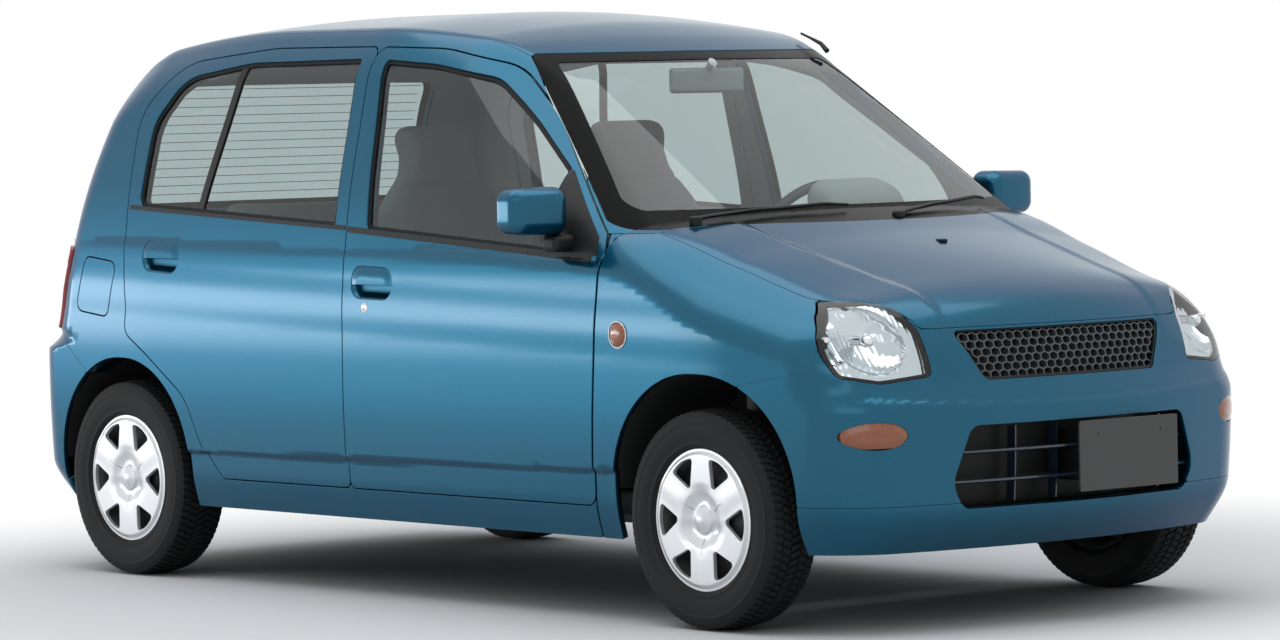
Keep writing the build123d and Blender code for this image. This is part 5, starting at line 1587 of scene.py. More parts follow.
def make_signals():
    """Turn signals in the bumper and round markers on the fenders."""
    region = shrunk(level("signal"), 1.0)
    points, tris = patch("front", region, (500.0, 440.0), (650.0, 522.0), 4.0)
    edge = -level("signal")(points)
    dome = 5.0 * smooth_step(edge - 9.0, 11.0)
    normal = skin_normals(points)
    panel = Panel()
    slab(panel, points + normal * (dome - 2.5)[:, None], tris, 12.0, edge_round=1.0,
         direction=(-1.0, 0.0, 0.0))
    finished("turn_signals", both_sides(panel), ("amber",), "body", "amber", ("indicator_lamps",))
    marker, ring = Panel(), Panel()
    rows = [(7.0, 0.3), (6.8, 10.0), (5.8, 18.0), (3.6, 25.0), (0.0, 29.0), (-4.0, 29.0), (-4.0, 0.3)]
    points, faces = turned(rows, 40)
    centre = (MARKER[0], side_y(*MARKER), MARKER[1])
    marker.add(points + centre, [face[::-1] for face in faces], 0)
    rows = [(-2.0, 29.3), (2.4, 29.8), (3.2, 31.5), (2.2, 33.2), (-2.0, 34.0)]
    points, faces = turned(rows, 40, closed=True)
    ring.add(points + centre, [face[::-1] for face in faces], 0)
    finished("side_markers", both_sides(marker), ("amber",), "body", "amber")
    finished("side_marker_rings", both_sides(ring), ("chrome",), "body", "black")


PLATE_SIZE = (330.0, 165.0)


def plate(name, centre, lean, body_name, *nodes):
    """A blank plate with a pressed border and two screw heads."""
    half_width, half_height = PLATE_SIZE[0] / 2, PLATE_SIZE[1] / 2
    edge = seen([(-half_width, -half_height, 8.0), (half_width, -half_height, 8.0),
                 (half_width, half_height, 8.0), (-half_width, half_height, 8.0)], "side")
    uv, tris = flat_net((-half_width - 1.0, -half_height - 1.0), (half_width + 1.0, half_height + 1.0), 3.0)
    points = np.stack([uv[:, 0], np.zeros(len(uv)), uv[:, 1]], axis=1)
    points, tris = cut((points, tris), edge)
    depth = -edge(points)
    points = np.stack([-0.3 - 1.4 * smooth_step(depth - 9.0, 2.5), points[:, 0], points[:, 2]], axis=1)
    panel = Panel()
    slab(panel, points, tris, 3.0, (0, 1, 0), edge_round=0.5, direction=(-1.0, 0.0, 0.0))
    for y in (-105.0, 105.0):
        screw, faces = turned([(1.0, 0.2), (0.8, 5.0), (-0.6, 7.5), (-3.0, 7.5)], 16)
        screw = np.stack([screw[:, 1], screw[:, 0] + y, screw[:, 2] + 50.0], axis=1)
        panel.add(screw - (1.2, 0.0, 0.0), faces, 1)
    x, y, z = np.concatenate(panel.points).T
    c, s = math.cos(lean), math.sin(lean)
    placed = Panel()
    placed.add(np.stack([x * c - z * s, y, x * s + z * c], axis=1) + centre, panel.faces, panel.finish)
    finished(name, placed, ("plate", "steel"), body_name, "plate", nodes)


def make_plates():
    """Blank front plate; the rear one is made with the tailgate."""
    plate("blank_front_plate", (HALF_LENGTH - 0.8, 105.0, 395.0), 0.0, "body")


# ---------------------------------------------------------------------------
# Sides: mirrors, handles, weather strips and mouldings
# ---------------------------------------------------------------------------
def make_mirrors():
    """Head, arm, sail and glass of both door mirrors."""
    points, faces = soft_block((0.0, 0.0, 0.0), (104.0, 166.0, 121.0), 34.0, 7, 4)
    outward = points[:, 1] / 166.0
    points[:, 2] = 60.0 + (points[:, 2] - 60.0) * (1.0 - 0.10 * outward) + 3.0 * outward
    points[:, 0] = points[:, 0] * (1.0 - 0.16 * outward ** 2) + 2.0
    points[:, 0] = np.where(points[:, 0] < 10.0, 10.0 - (10.0 - points[:, 0]) * 0.3, points[:, 0])
    head = Panel()
    head.add(points + (533.0, 713.0, 926.0), faces, 0)
    arm = Panel()
    arm.add(*soft_block((574.0, 690.0, 888.0), (634.0, 762.0, 930.0), 16.0, 5), 0)
    sail_edge = seen([(532.0, 888.0, 3.0), (722.0, 879.0, 6.0), (708.0, 924.0, 12.0), (533.0, 1088.0, 3.0)],
                     "side")
    sail = patch("side", sail_edge, (528.0, 874.0), (728.0, 1094.0), 8.0)
    sail_panel = Panel()
    shell(sail_panel, sail, 6.0, (0, 0, 0), lift=2.0, edge_round=1.0)
    glass = Panel()
    rows = [(745.0, 943.0, 24.0), (862.0, 948.0, 30.0), (862.0, 1030.0, 30.0), (745.0, 1034.0, 18.0)]
    uv, tris = flat_net((740.0, 938.0), (868.0, 1040.0), 8.0)
    points = np.stack([np.full(len(uv), 531.5), uv[:, 0], uv[:, 1]], axis=1)
    points, tris = cut((points, tris), seen(rows, "front"))
    points[:, 0] = 540.6 + 6.0 * ((points[:, 1] - 803.0) / 65.0) ** 2 * 0.1
    slab(glass, points, tris[:, ::-1], 2.0, edge_round=0.5, direction=(1.0, 0.0, 0.0))
    for side, mirror in SIDES:
        door = f"front_door_{side}"
        finished(f"mirror_head_{side}", head, ("paint",), door, "paint", (f"door_mirror_{side}",),
                 mirror=mirror)
        finished(f"mirror_arm_{side}", arm, ("black",), door, "black", mirror=mirror)
        finished(f"mirror_sail_{side}", sail_panel, ("black",), door, "black", mirror=mirror)
        finished(f"mirror_glass_{side}", glass, ("chrome",), door, "glass", mirror=mirror)


KEY_PLACE = (-163.0, 739.0)    # x and height of a front door's key cylinder


def make_handles():
    """Recess and flap of each door handle, and the front doors' key cylinders."""
    for door, rows in (("front_door", FRONT_HANDLE), ("rear_door", REAR_HANDLE)):
        edge = seen(rows, "side")
        u = [row[0] for row in rows]
        v = [row[1] for row in rows]
        low, high = (min(u) - 4.0, min(v) - 4.0), (max(u) + 4.0, max(v) + 4.0)
        split = max(v) - 50.0
        points, tris = patch("side", edge, low, high, 4.0)
        inset = -edge(points)
        normal = skin_normals(points)
        depth = 1.0 + 20.0 * smooth_step(inset - 10.0, 12.0)
        bowl = Panel()
        bowl.add(points - normal * depth[:, None], tris, 0)
        net = patch("side", inside_all(shrunk(edge, 3.0), beyond(2, split, 1.0)), low, high, 4.0)
        inset = -edge(net[0])
        bulge = 3.5 * smooth_step(inset - 14.0, 14.0) - 1.2
        flap = Panel()
        normal = skin_normals(net[0])
        slab(flap, net[0] + normal * bulge[:, None], net[1], 6.0, edge_round=1.2, direction=(0.0, -1.0, 0.0))
        for side, mirror in SIDES:
            finished(f"{door}_handle_cup_{side}", bowl, ("paint",), f"{door}_{side}", "paint", sharp=60.0,
                     mirror=mirror)
            finished(f"{door}_handle_{side}", flap, ("paint",), f"{door}_{side}", "paint", mirror=mirror)
    lock, faces = turned([(2.2, 0.2), (2.0, 8.0), (1.2, 11.5), (0.0, 13.0), (-3.0, 13.0)], 28)
    keyway = soft_block((-1.2, 1.2, -5.0), (1.2, 2.8, 5.0), 0.5, 2)
    centre = (KEY_PLACE[0], side_y(*KEY_PLACE), KEY_PLACE[1])
    panel = Panel()
    panel.add(lock + centre, [face[::-1] for face in faces], 0)
    panel.add(keyway[0] + centre, keyway[1], 1)
    for side, mirror in SIDES:
        finished(f"door_lock_{side}", panel, ("chrome", "black"), f"front_door_{side}", "silver",
                 mirror=mirror)


def strip(name, region, body_name, finish="rubber", lift=-1.0, depth=8.0):
    """A strip laid in the skin of both sides; {side} in the body's name is filled in."""
    panel = Panel()
    shell(panel, cut(body(), region), depth, (0, 0, 0), lift=lift, edge_round=0.8)
    for side, mirror in SIDES:
        finished(f"{name}_{side}", panel, (finish,), body_name.format(side=side), "black", mirror=mirror)


def make_strips():
    """Seals of the door and tailgate windows, and the dark band of the windshield."""
    outer = beyond(1, SILL_Y, 1.0)
    for door, window in (("front_door", "front_window"), ("rear_door", "rear_window")):
        edge = level(window)
        strip(f"{window}_seal", inside_all(shrunk(edge, 0.2), outside(shrunk(edge, 9.0)), outer),
              door + "_{side}", lift=-5.0, depth=10.0)
    band = inside_all(shrunk(level("windshield"), 1.2), beyond(0, SHIELD_X, 1.0))
    clear = seen([(622.0, 985.0, 25.0), (446.0, 1350.0, 25.0), (-100.0, 1352.0, 0), (-100.0, 985.0, 0)],
                 "front")
    panel = Panel()
    shell(panel, cut(cut(body(), band), outside(clear)), 1.6, (0, 0, 0), lift=-1.2, centre=True)
    dress(panel.object("windshield_band", [FINISHES["gloss_black"]]), "body", "black")
    edge = shrunk(level("tailgate_window"), 0.4)
    gate = inside_all(edge, outside(shrunk(edge, 14.0)), beyond(0, -1100.0, -1.0))
    panel = Panel()
    shell(panel, cut(body(), gate), 6.0, (0, 0, 0), lift=-3.5, centre=True)
    dress(panel.object("tailgate_window_seal", [FINISHES["rubber"]]), "tailgate", "black")


def make_side_details():
    """Rear window divider and belt mouldings."""
    outer = beyond(1, SILL_Y, 1.0)
    bar = seen([(-911.0, 930.0, 0), (-782.0, 1392.0, 0), (-806.0, 1392.0, 0), (-935.0, 930.0, 0)], "side")
    strip("rear_window_divider", inside_all(bar, shrunk(level("rear_window"), 1.0), outer),
          "rear_door_{side}", "black", lift=-6.0, depth=9.0)
    for door, window, rows in (
            ("front_door", "front_window", [(-250.0, 930.0, 2.0), (700.0, 864.0, 2.0), (700.0, 880.0, 2.0),
                                            (-250.0, 944.0, 2.0)]),
            ("rear_door", "rear_window", [(-1222.0, 984.0, 2.0), (-262.0, 935.0, 2.0), (-262.0, 946.0, 2.0),
                                          (-1222.0, 995.0, 2.0)])):
        belt = inside_all(seen(rows, "side"), shrunk(level(door), 3.5), outside(level(window), 0.4), outer,
                          lambda p: p[:, 2] - 1006.0)
        strip(f"{window}_belt_moulding", belt, door + "_{side}", "black", lift=1.6, depth=5.0)


def arch_liner(name, outline_rows, inner_y, shrink, crown_cut):
    """Moulded wheelhouse tub: an arched roof with an inner wall."""
    outline = rounded(outline_rows, 20.0)
    keep = outline[:, 1] > 190.0
    outline = outline[keep]
    order = np.argsort(np.arctan2(outline[:, 1] - AXLE_HEIGHT + 60.0, outline[:, 0] - outline[:, 0].mean()))
    outline = outline[order]
    ys = [inner_y, inner_y + 60.0, 560.0, 640.0]
    points, faces = [], []
    for x, z in outline:
        edge = side_y(x, min(z, crown_cut)) - shrink
        for y in ys:
            points.append((x, min(y, edge), z))
        points.append((x, edge, z))
    wide = len(ys) + 1
    for k in range(len(outline) - 1):
        for i in range(wide - 1):
            a = k * wide + i
            faces.append((a, a + 1, a + 1 + wide, a + wide))
    middle = len(points)
    points.append((outline[:, 0].mean(), inner_y, AXLE_HEIGHT))
    for k in range(len(outline) - 1):
        faces.append((middle, k * wide, (k + 1) * wide))
    panel = Panel()
    panel.add(points, faces, 0)
    finished(name, both_sides(panel), ("liner",), "body", "black", sharp=60.0)


def make_liners():
    """Liners of the four wheelhouses."""
    arch_liner("front_wheelhouse_liners", arch(FRONT_AXLE - 304.0, FRONT_AXLE + 289.0, 613.0), 412.0, 12.0,
               613.0)
    arch_liner("rear_wheelhouse_liners", arch(REAR_AXLE - 294.0, REAR_AXLE + 294.0, 593.0), 500.0, 12.0,
               593.0)


def make_tail():
    """Heater lines, blank plate and grip of the tailgate."""
    heater = Panel()
    for k in range(sizes().heater_lines):
        z = 1012.0 + 24.0 * k
        half = 470.0 - (z - 975.0) * 0.12
        path = [(tail_x(y, z) + 11.6, y, z) for y in np.linspace(-half, half, 17)]
        heater.add(*tube(path, 0.9, 4), 0)
    finished("heated_window_lines", heater, ("copper",), "tailgate", "black")
    plate("blank_rear_plate", (tail_x(0.0, 800.0) - 3.5, 0.0, 800.0), math.radians(17.0), "tailgate",
          "rear_plate")
    garnish = Panel()
    garnish.add(*soft_block((tail_x(0.0, 915.0) - 4.0, -250.0, 902.0),
                            (tail_x(0.0, 915.0) + 30.0, 250.0, 930.0), 10.0, 4, 4), 0)
    finished("tailgate_grip", garnish, ("paint",), "tailgate", "paint")


JET_X = 1180.0             # the washer jet sits on the middle line of the hood


def make_wipers():
    """Wiper arms with their blades, and the washer jet."""
    panel = Panel()
    arms = (((872.0, -520.0, 962.0), (914.0, -60.0, 986.0)), ((967.0, 60.0, 958.0), (845.0, 470.0, 986.0)))
    for pivot, tip in arms:
        pivot, tip = np.array(pivot), np.array(tip)
        way = (tip - pivot) / np.linalg.norm(tip - pivot)
        elbow = pivot + way * 170.0 + (0.0, 0.0, 9.0)
        hold = pivot + way * 300.0 + (0.0, 0.0, 6.0)
        panel.add(*tube([pivot, pivot + (0.0, 0.0, 4.0) + way * 30.0, elbow, hold], (10.0, 9.0, 6.0, 4.0),
                        10, 0.6), 0)
        blade = [hold - way * 200.0 - (0.0, 0.0, 2.0), hold - way * 100.0, hold, hold + way * 90.0,
                 tip - (0.0, 0.0, 2.0)]
        panel.add(*tube(blade, (3.5, 4.5, 5.5, 4.5, 3.5), 8, 0.9), 0)
        points, faces = soft_block(pivot - (13.0, 13.0, 20.0), pivot + (13.0, 13.0, 8.0), 7.0, 3)
        panel.add(points, faces, 0)
    finished("wiper_arms", panel, ("black",), "body", "black", ("wipers",))
    jets = Panel()
    top = hood_z(JET_X, 0.0)
    jets.add(*soft_block((JET_X - 12.0, -11.0, top - 3.0), (JET_X + 12.0, 11.0, top + 5.0), 3.6, 3), 0)
    finished("washer_jets", jets, ("black",), "hood", "black")


def make_antenna():
    """Antenna stub above the left front pillar."""
    panel = Panel()
    base = (268.0, 476.0, 1366.0)
    panel.add(*tube([base, (240.0, 480.0, 1386.0), (196.0, 482.0, 1402.0), (160.0, 484.0, 1414.0)],
                    (7.0, 5.5, 3.4, 3.0), 12), 0)
    finished("antenna_stub", panel, ("black",), "body", "black")


SLAT_HEIGHTS = (349.0, 418.0)
UPRIGHT_PLACES = (-195.0, -66.0, 300.0)         # y of each upright
SLAT_SECTION = ((0.0, 0.0), (-3.0, 4.6), (-10.0, 6.0), (-46.0, 4.0), (-46.0, -3.0), (-6.0, -3.4))
UPRIGHT_SECTION = ((0.0, -2.0), (0.0, 2.0), (-26.0, 2.0), (-26.0, -2.0))
DUCT_DEPTH = 78.0


def make_air_opening():
    """Slats, uprights and a deep dark duct behind the bumper opening."""
    edge = shrunk(level("opening"), 1.0)
    slats = Panel()
    for z in SLAT_HEIGHTS:
        ys = np.linspace(-388.0, 388.0, 60)
        inside = edge(np.stack([np.zeros(60), ys, np.full(60, z)], axis=1)) < -1.0
        ys = ys[inside]
        front = nose_x(ys, np.full(len(ys), z)) - 12.0
        points = [(x + u, y, z + v) for x, y in zip(front, ys) for u, v in SLAT_SECTION]
        faces = []
        for k in range(len(ys) - 1):
            for i in range(6):
                a, b = k * 6 + i, k * 6 + (i + 1) % 6
                faces.append((a, a + 6, b + 6, b))
        slats.add(points, faces, 0)
    for y in UPRIGHT_PLACES:
        zs = np.linspace(282.0, 490.0, 14)
        inside = edge(np.stack([np.zeros(14), np.full(14, y), zs], axis=1)) < 2.0
        zs = zs[inside]
        front = nose_x(np.full(len(zs), y), zs) - 34.0
        points = [(x + u, y + v, z) for x, z in zip(front, zs) for u, v in UPRIGHT_SECTION]
        faces = []
        for k in range(len(zs) - 1):
            for i in range(4):
                a, b = k * 4 + i, k * 4 + (i + 1) % 4
                faces.append((a, b, b + 4, a + 4))
        slats.add(points, faces, 0)
    # The slats' dark blue is painted shade of the recess.
    finished("air_opening_slats", slats, ("paint_dark",), "body", "black", ("lower_grille",))
    back = patch("front", level("opening"), (-400.0, 280.0), (400.0, 490.0), 25.0)
    duct = Panel()
    slab(duct, back[0] + (-DUCT_DEPTH, 0.0, 0.0), back[1], 2.0, edge_round=0.3, direction=(-1.0, 0.0, 0.0))
    edges = edge_loops(back[1])
    front = back[0] + (-14.0, 0.0, 0.0)
    deep = back[0] + (-DUCT_DEPTH, 0.0, 0.0)
    count = len(front)
    duct.add(np.concatenate([front, deep]), [(b, a, a + count, b + count) for a, b in edges.tolist()], 0)
    finished("air_duct", duct, ("black",), "body", "black")


# ---------------------------------------------------------------------------
# Cabin
# ---------------------------------------------------------------------------
def worked_out(obj):
    """The mesh of an object as its modifiers leave it."""
    return bpy.data.meshes.new_from_object(obj.evaluated_get(bpy.context.evaluated_depsgraph_get()))


def places(mesh):
    """The points of a mesh as rows, in metres."""
    out = np.zeros(len(mesh.vertices) * 3)
    mesh.vertices.foreach_get("co", out)
    return out.reshape(-1, 3)


def padding(points, faces, voxel, cap, pressure=4.0):
    """Pads a closed form as foam fills its cover: remeshed, blown up by cloth simulation, smoothed."""
    mesh = bpy.data.meshes.new("padding")
    mesh.from_pydata((np.asarray(points) * MM).tolist(), [], [tuple(map(int, face)) for face in faces])
    form = bpy.data.objects.new("padding", mesh)
    bpy.context.scene.collection.objects.link(form)
    remesh = form.modifiers.new("remesh", "REMESH")
    remesh.mode, remesh.voxel_size = "VOXEL", voxel * MM
    bpy.context.view_layer.update()
    even = worked_out(form)
    form.modifiers.clear()
    form.data = even
    rest = shape = places(even)
    cloth = form.modifiers.new("cloth", "CLOTH")
    cloth.settings.use_pressure = True
    cloth.settings.uniform_pressure_force = pressure
    cloth.settings.quality = 4
    cloth.settings.effector_weights.gravity = 0.0
    cloth.point_cache.frame_start, cloth.point_cache.frame_end = 1, 20
    for step in range(1, 21):
        bpy.context.scene.frame_set(step)
    shape = places(worked_out(form))
    bpy.context.scene.frame_set(1)
    move = shape - rest
    length = np.linalg.norm(move, axis=1, keepdims=True)
    shape = rest + move * np.minimum(1.0, cap * MM / np.maximum(length, 1e-9))
    form.modifiers.clear()
    even.vertices.foreach_set("co", shape.ravel())
    smooth = form.modifiers.new("smooth", "SUBSURF")
    smooth.levels = 1
    bpy.context.view_layer.update()
    made = worked_out(form)
    out = places(made) / MM
    found = [tuple(face.vertices) for face in made.polygons]
    bpy.data.objects.remove(form)
    bpy.data.meshes.remove(made)
    return out, found


def groove(distance, width, depth):
    """A sewn seam pulls the cover in along a line."""
    return -depth * bump(distance, width)


def seat_cushion():
    """Cushion of a front seat about its own middle line."""
    points, faces = soft_block((-300.0, -228.0, 360.0), (132.0, 228.0, 500.0), 52.0, 4, 12)
    x, y = points[:, 0], points[:, 1]
    top = np.clip((points[:, 2] - 380.0) / 100.0, 0.0, 1.0)
    points[:, 2] += top * (24.0 * (x + 170.0) / 280.0 + 12.0 * smooth_step(np.abs(y) - 165.0, 30.0))
    points, faces = padding(points, faces, 13.0, 15.0)
    upper = smooth_step(points[:, 2] - 440.0, 25.0)
    off = np.abs(points[:, 1])
    pull = groove(off - 148.0, 9.0, 7.0) + groove(points[:, 0] - 20.0, 9.0, 5.0) * (off < 148.0)
    points[:, 2] += pull * upper
    return points, faces


def back_line(z):
    """How far forward the middle of a front seat's back lies at a height."""
    return np.interp(z, (470.0, 1000.0, 1208.0), (-238.0, -354.0, -372.0))


def bench_line(z):
    """How far forward the middle of the rear bench's back lies at a height."""
    return np.interp(z, (480.0, 1002.0), (-900.0, -1052.0))


def seat_back():
    """Back of a front seat with its headrest, about its own middle line."""
    points, faces = soft_block((-46.0, -226.0, 470.0), (46.0, 226.0, 1208.0), 42.0, 4, 14)
    z = points[:, 2]
    width = 1.0 - 0.46 * smooth_step(z - 1035.0, 75.0) - 0.05 * smooth_step(z - 860.0, 200.0)
    side = np.abs(points[:, 1]) / 226.0
    points[:, 1] *= width
    front = np.clip(points[:, 0] / 40.0, 0.0, 1.0)
    bolster = 16.0 * smooth_step(side - 0.70, 0.14) * smooth_step(960.0 - z, 60.0)
    lumbar = 10.0 * bump(z - 620.0, 160.0)
    middle = back_line(z)
    points[:, 0] += middle + front * (bolster + lumbar) - 10.0 * smooth_step(z - 1100.0, 60.0) * (1.0 - front)
    points, faces = padding(points, faces, 13.0, 14.0)
    z = points[:, 2]
    middle = back_line(z)
    front = smooth_step(points[:, 0] - middle - 20.0, 14.0)
    off = np.abs(points[:, 1])
    pull = (groove(off - 140.0, 9.0, 7.0) * (z < 960.0) + groove(z - 1040.0, 10.0, 7.0)
            + groove(z - 800.0, 9.0, 4.0) * (off < 140.0))
    points[:, 0] += pull * front
    return points, faces


SEAT_Y = 330.0             # middle of a front seat


def bench_seams(y):
    """Depth of the sewn seams that part the bench into four."""
    return groove(np.abs(y) - 260.0, 10.0, 6.0) + groove(y, 10.0, 6.0)


def make_seats():
    """Padded front seats on their bases, and the rear bench."""
    nodes = ("front_seats",)
    shapes = (("cushion", seat_cushion()), ("back", seat_back()))
    for side, sign in (("left", 1.0), ("right", -1.0)):
        for part, (points, faces) in shapes:
            panel = Panel()
            panel.add(points + (0.0, sign * SEAT_Y, 0.0), faces, 0)
            piece = finished(f"front_seat_{part}_{side}", panel, ("cloth",), "body", "seat", nodes,
                             sharp=180.0)
            nodes = ()
    base = Panel()
    for middle in (SEAT_Y, -SEAT_Y):
        base.add(*soft_block((-300.0, middle - 205.0, 292.0), (100.0, middle + 205.0, 372.0), 16.0, 3), 0)
        for y in (-180.0, 180.0):
            rail = (-320.0, middle + y - 16.0, 252.0), (110.0, middle + y + 16.0, 294.0)
            base.add(*soft_block(*rail, 5.0, 2), 0)
    finished("front_seat_bases", base, ("dark_trim",), "body", "black")
    points, faces = soft_block((-930.0, -520.0, 392.0), (-508.0, 520.0, 536.0), 50.0, 4, 14)
    top = np.clip((points[:, 2] - 420.0) / 100.0, 0, 1)
    points[:, 2] += 16.0 * smooth_step(points[:, 0] + 640.0, 120.0) * top
    points, faces = padding(points, faces, 16.0, 12.0)
    points[:, 2] += bench_seams(points[:, 1]) * smooth_step(points[:, 2] - 470.0, 25.0)
    panel = Panel()
    panel.add(points, faces, 0)
    piece = finished("rear_bench_cushion", panel, ("cloth",), "body", "seat", ("rear_bench",), sharp=180.0)
    points, faces = soft_block((-40.0, -520.0, 480.0), (40.0, 520.0, 1002.0), 36.0, 4, 14)
    points[:, 0] += bench_line(points[:, 2])
    points, faces = padding(points, faces, 16.0, 12.0)
    middle = bench_line(points[:, 2])
    points[:, 0] += smooth_step(points[:, 0] - middle - 15.0, 14.0) * bench_seams(points[:, 1])
    panel = Panel()
    panel.add(points, faces, 0)
    piece = finished("rear_bench_back", panel, ("cloth",), "body", "seat", sharp=180.0)


HUB = (330.0, 330.0, 860.0)
COLUMN_TILT = math.radians(27.0)
RIM_RADIUS = 181.5


def make_steering_wheel():
    """Rim, three spokes and a plain padded boss on the tilted column."""
    hub = np.array(HUB)
    along = np.array((math.cos(COLUMN_TILT), 0.0, -math.sin(COLUMN_TILT)))
    up = np.array((math.sin(COLUMN_TILT), 0.0, math.cos(COLUMN_TILT)))
    side = np.array((0.0, 1.0, 0.0))
    panel = Panel()

    def place(points):
        points = np.asarray(points, float)
        return hub + points[:, :1] * along + points[:, 1:2] * side + points[:, 2:3] * up

    turn = (np.arange(72) * 2 * math.pi / 72)[:, None]
    tube_turn = (np.arange(14) * 2 * math.pi / 14)[None, :]
    reach = RIM_RADIUS + 13.0 * np.cos(tube_turn)
    rim = np.stack([13.5 * np.sin(tube_turn) * np.ones((72, 1)), reach * np.cos(turn), reach * np.sin(turn)],
                   axis=-1).reshape(-1, 3)
    faces = []
    for k in range(72):
        for i in range(14):
            j, following = (i + 1) % 14, (k + 1) % 72 * 14
            faces.append((k * 14 + i, k * 14 + j, following + j, following + i))
    panel.add(place(rim), faces, 0)
    boss, faces = soft_block((-6.0, -78.0, -62.0), (36.0, 78.0, 58.0), 19.0, 5, 2)
    panel.add(place(boss), faces, 0)
    for degrees in (8.0, 172.0, 270.0):
        angle = math.radians(degrees)
        out = np.array((0.0, math.cos(angle), math.sin(angle)))
        path = [np.array((12.0, 0.0, 0.0)) + out * r for r in (50.0, 90.0, 130.0, 176.0)]
        points, faces = tube(path, (22.0, 18.0, 15.0, 12.0), 12, 0.45 if degrees != 270.0 else 1.0)
        panel.add(place(points), faces, 0)
    points, faces = tube([(20.0, 0.0, 0.0), (60.0, 0.0, 0.0)], (30.0, 30.0), 20)
    panel.add(place(points), faces, 0)
    finished("steering_wheel_moulding", panel, ("dark_trim",), "steering_wheel", "trim", ("steering_wheel",))


def make_dash():
    """Raised and inset parts of the instrument panel."""
    panel = Panel()
    panel.add(*soft_block((448.0, -560.0, 838.0), (474.0, -160.0, 888.0), 10.0, 4, 2), 0)
    panel.add(*soft_block((436.0, -96.0, 660.0), (470.0, 96.0, 872.0), 12.0, 4, 2), 0)
    panel.add(*soft_block((452.0, -570.0, 660.0), (478.0, -130.0, 812.0), 14.0, 4, 2), 0)
    finished("dash_mouldings", panel, ("trim",), "body", "trim")
    binnacle = Panel()
    points, faces = soft_block((462.0, 190.0, 925.0), (612.0, 452.0, 1040.0), 52.0, 8, 4)
    fall = np.clip((points[:, 0] - 480.0) / 130.0, 0.0, 1.0)
    points[:, 2] -= 46.0 * fall ** 2
    binnacle.add(points, faces, 0)
    finished("instrument_hood", binnacle, ("trim",), "body", "trim")
    vents = Panel()
    for y in (-520.0, -60.0, 60.0, 520.0):
        base, drop = (428.0, 30.0) if abs(y) < 100.0 else (462.0, 0.0)
        for k in range(5):
            z = 836.0 + 8.5 * k - drop
            vents.add(*soft_block((base, y - 38.0, z), (base + 14.0, y + 38.0, z + 2.6), 1.1, 2), 0)
        vents.add(*soft_block((base + 8.0, y - 42.0, 830.0 - drop),
                              (base + 16.0, y + 42.0, 878.0 - drop), 3.0, 3), 0)
    vents.add(*soft_block((428.0, -84.0, 716.0), (440.0, 84.0, 770.0), 4.0, 3), 0)
    for y in (-56.0, 0.0, 56.0):
        knob, faces = turned([(14.0, 0.3), (13.0, 14.0), (0.0, 17.0), (-4.0, 17.0)], 28)
        knob = np.stack([434.0 - knob[:, 1], knob[:, 0] + y, knob[:, 2] + 690.0], axis=1)
        vents.add(knob, faces, 0)
    vents.add(*soft_block((486.0, 205.0, 868.0), (500.0, 455.0, 944.0), 5.0, 3), 0)
    finished("vents_and_controls", vents, ("black",), "body", "black")
    head = Panel()
    points, faces = soft_block((320.0, -122.0, 1264.0), (341.0, 122.0, 1328.0), 10.0, 5, 3)
    head.add(points, faces, 0)
    head.add(*tube([(334.0, 0.0, 1320.0), (348.0, 0.0, 1336.0), (356.0, 0.0, 1342.0)], (8.0, 9.0, 13.0),
                   12), 0)
    finished("interior_mirror_moulding", head, ("trim",), "body", "trim", ("interior_mirror",))
    trims = Panel()
    trims.add(*soft_block((-60.0, 600.0, 640.0), (420.0, 652.0, 700.0), 18.0, 4, 3), 0)
    points, faces = turned([(12.0, 0.3), (11.0, 6.0), (3.0, 9.0), (0.0, 9.0)], 20)
    points = np.stack([points[:, 1] + 210.0, 610.0 - points[:, 0] * 0.5, points[:, 2] + 600.0], axis=1)
    trims.add(points, faces, 0)
    rear = Panel()
    rear.add(*soft_block((-820.0, 602.0, 660.0), (-420.0, 652.0, 715.0), 18.0, 4, 3), 0)
    for side, mirror in SIDES:
        finished(f"front_armrest_{side}", trims, ("dark_trim",), f"front_door_{side}", "trim", mirror=mirror)
        finished(f"rear_armrest_{side}", rear, ("dark_trim",), f"rear_door_{side}", "trim", mirror=mirror)


# ---------------------------------------------------------------------------
# Stage, lamps and camera
# ---------------------------------------------------------------------------
CAMERA_PLACE = (10.3593, -8.8237, 1.2842)
CAMERA_AZIMUTH = math.radians(49.439)
CAMERA_ELEVATION = math.radians(2.550)
CAMERA_ROLL = math.radians(-1.208)
CAMERA_FOCAL_PIXELS = 5247.06
PICTURE_WIDTH = 1280.0


def make_camera():
    """The camera, from its place, angles and focal length in pixels."""
    back = Vector((math.sin(CAMERA_AZIMUTH) * math.cos(CAMERA_ELEVATION),
                   -math.cos(CAMERA_AZIMUTH) * math.cos(CAMERA_ELEVATION), math.sin(CAMERA_ELEVATION)))
    right = Vector((math.cos(CAMERA_AZIMUTH), math.sin(CAMERA_AZIMUTH), 0.0))
    up = back.cross(right)
    cosine, sine = math.cos(CAMERA_ROLL), math.sin(CAMERA_ROLL)
    turned_right = right * cosine + up * sine
    turned_up = up * cosine - right * sine
    data = bpy.data.cameras.new("studio_camera")
    data.sensor_width = 36.0
    data.lens = 36.0 * CAMERA_FOCAL_PIXELS / PICTURE_WIDTH
    data.clip_end = 100.0
    camera = bpy.data.objects.new("studio_camera", data)
    turn = Matrix((turned_right, turned_up, back)).transposed().to_4x4()
    camera.matrix_world = Matrix.Translation(CAMERA_PLACE) @ turn
    bpy.context.scene.collection.objects.link(camera)
    bpy.context.scene.camera = camera


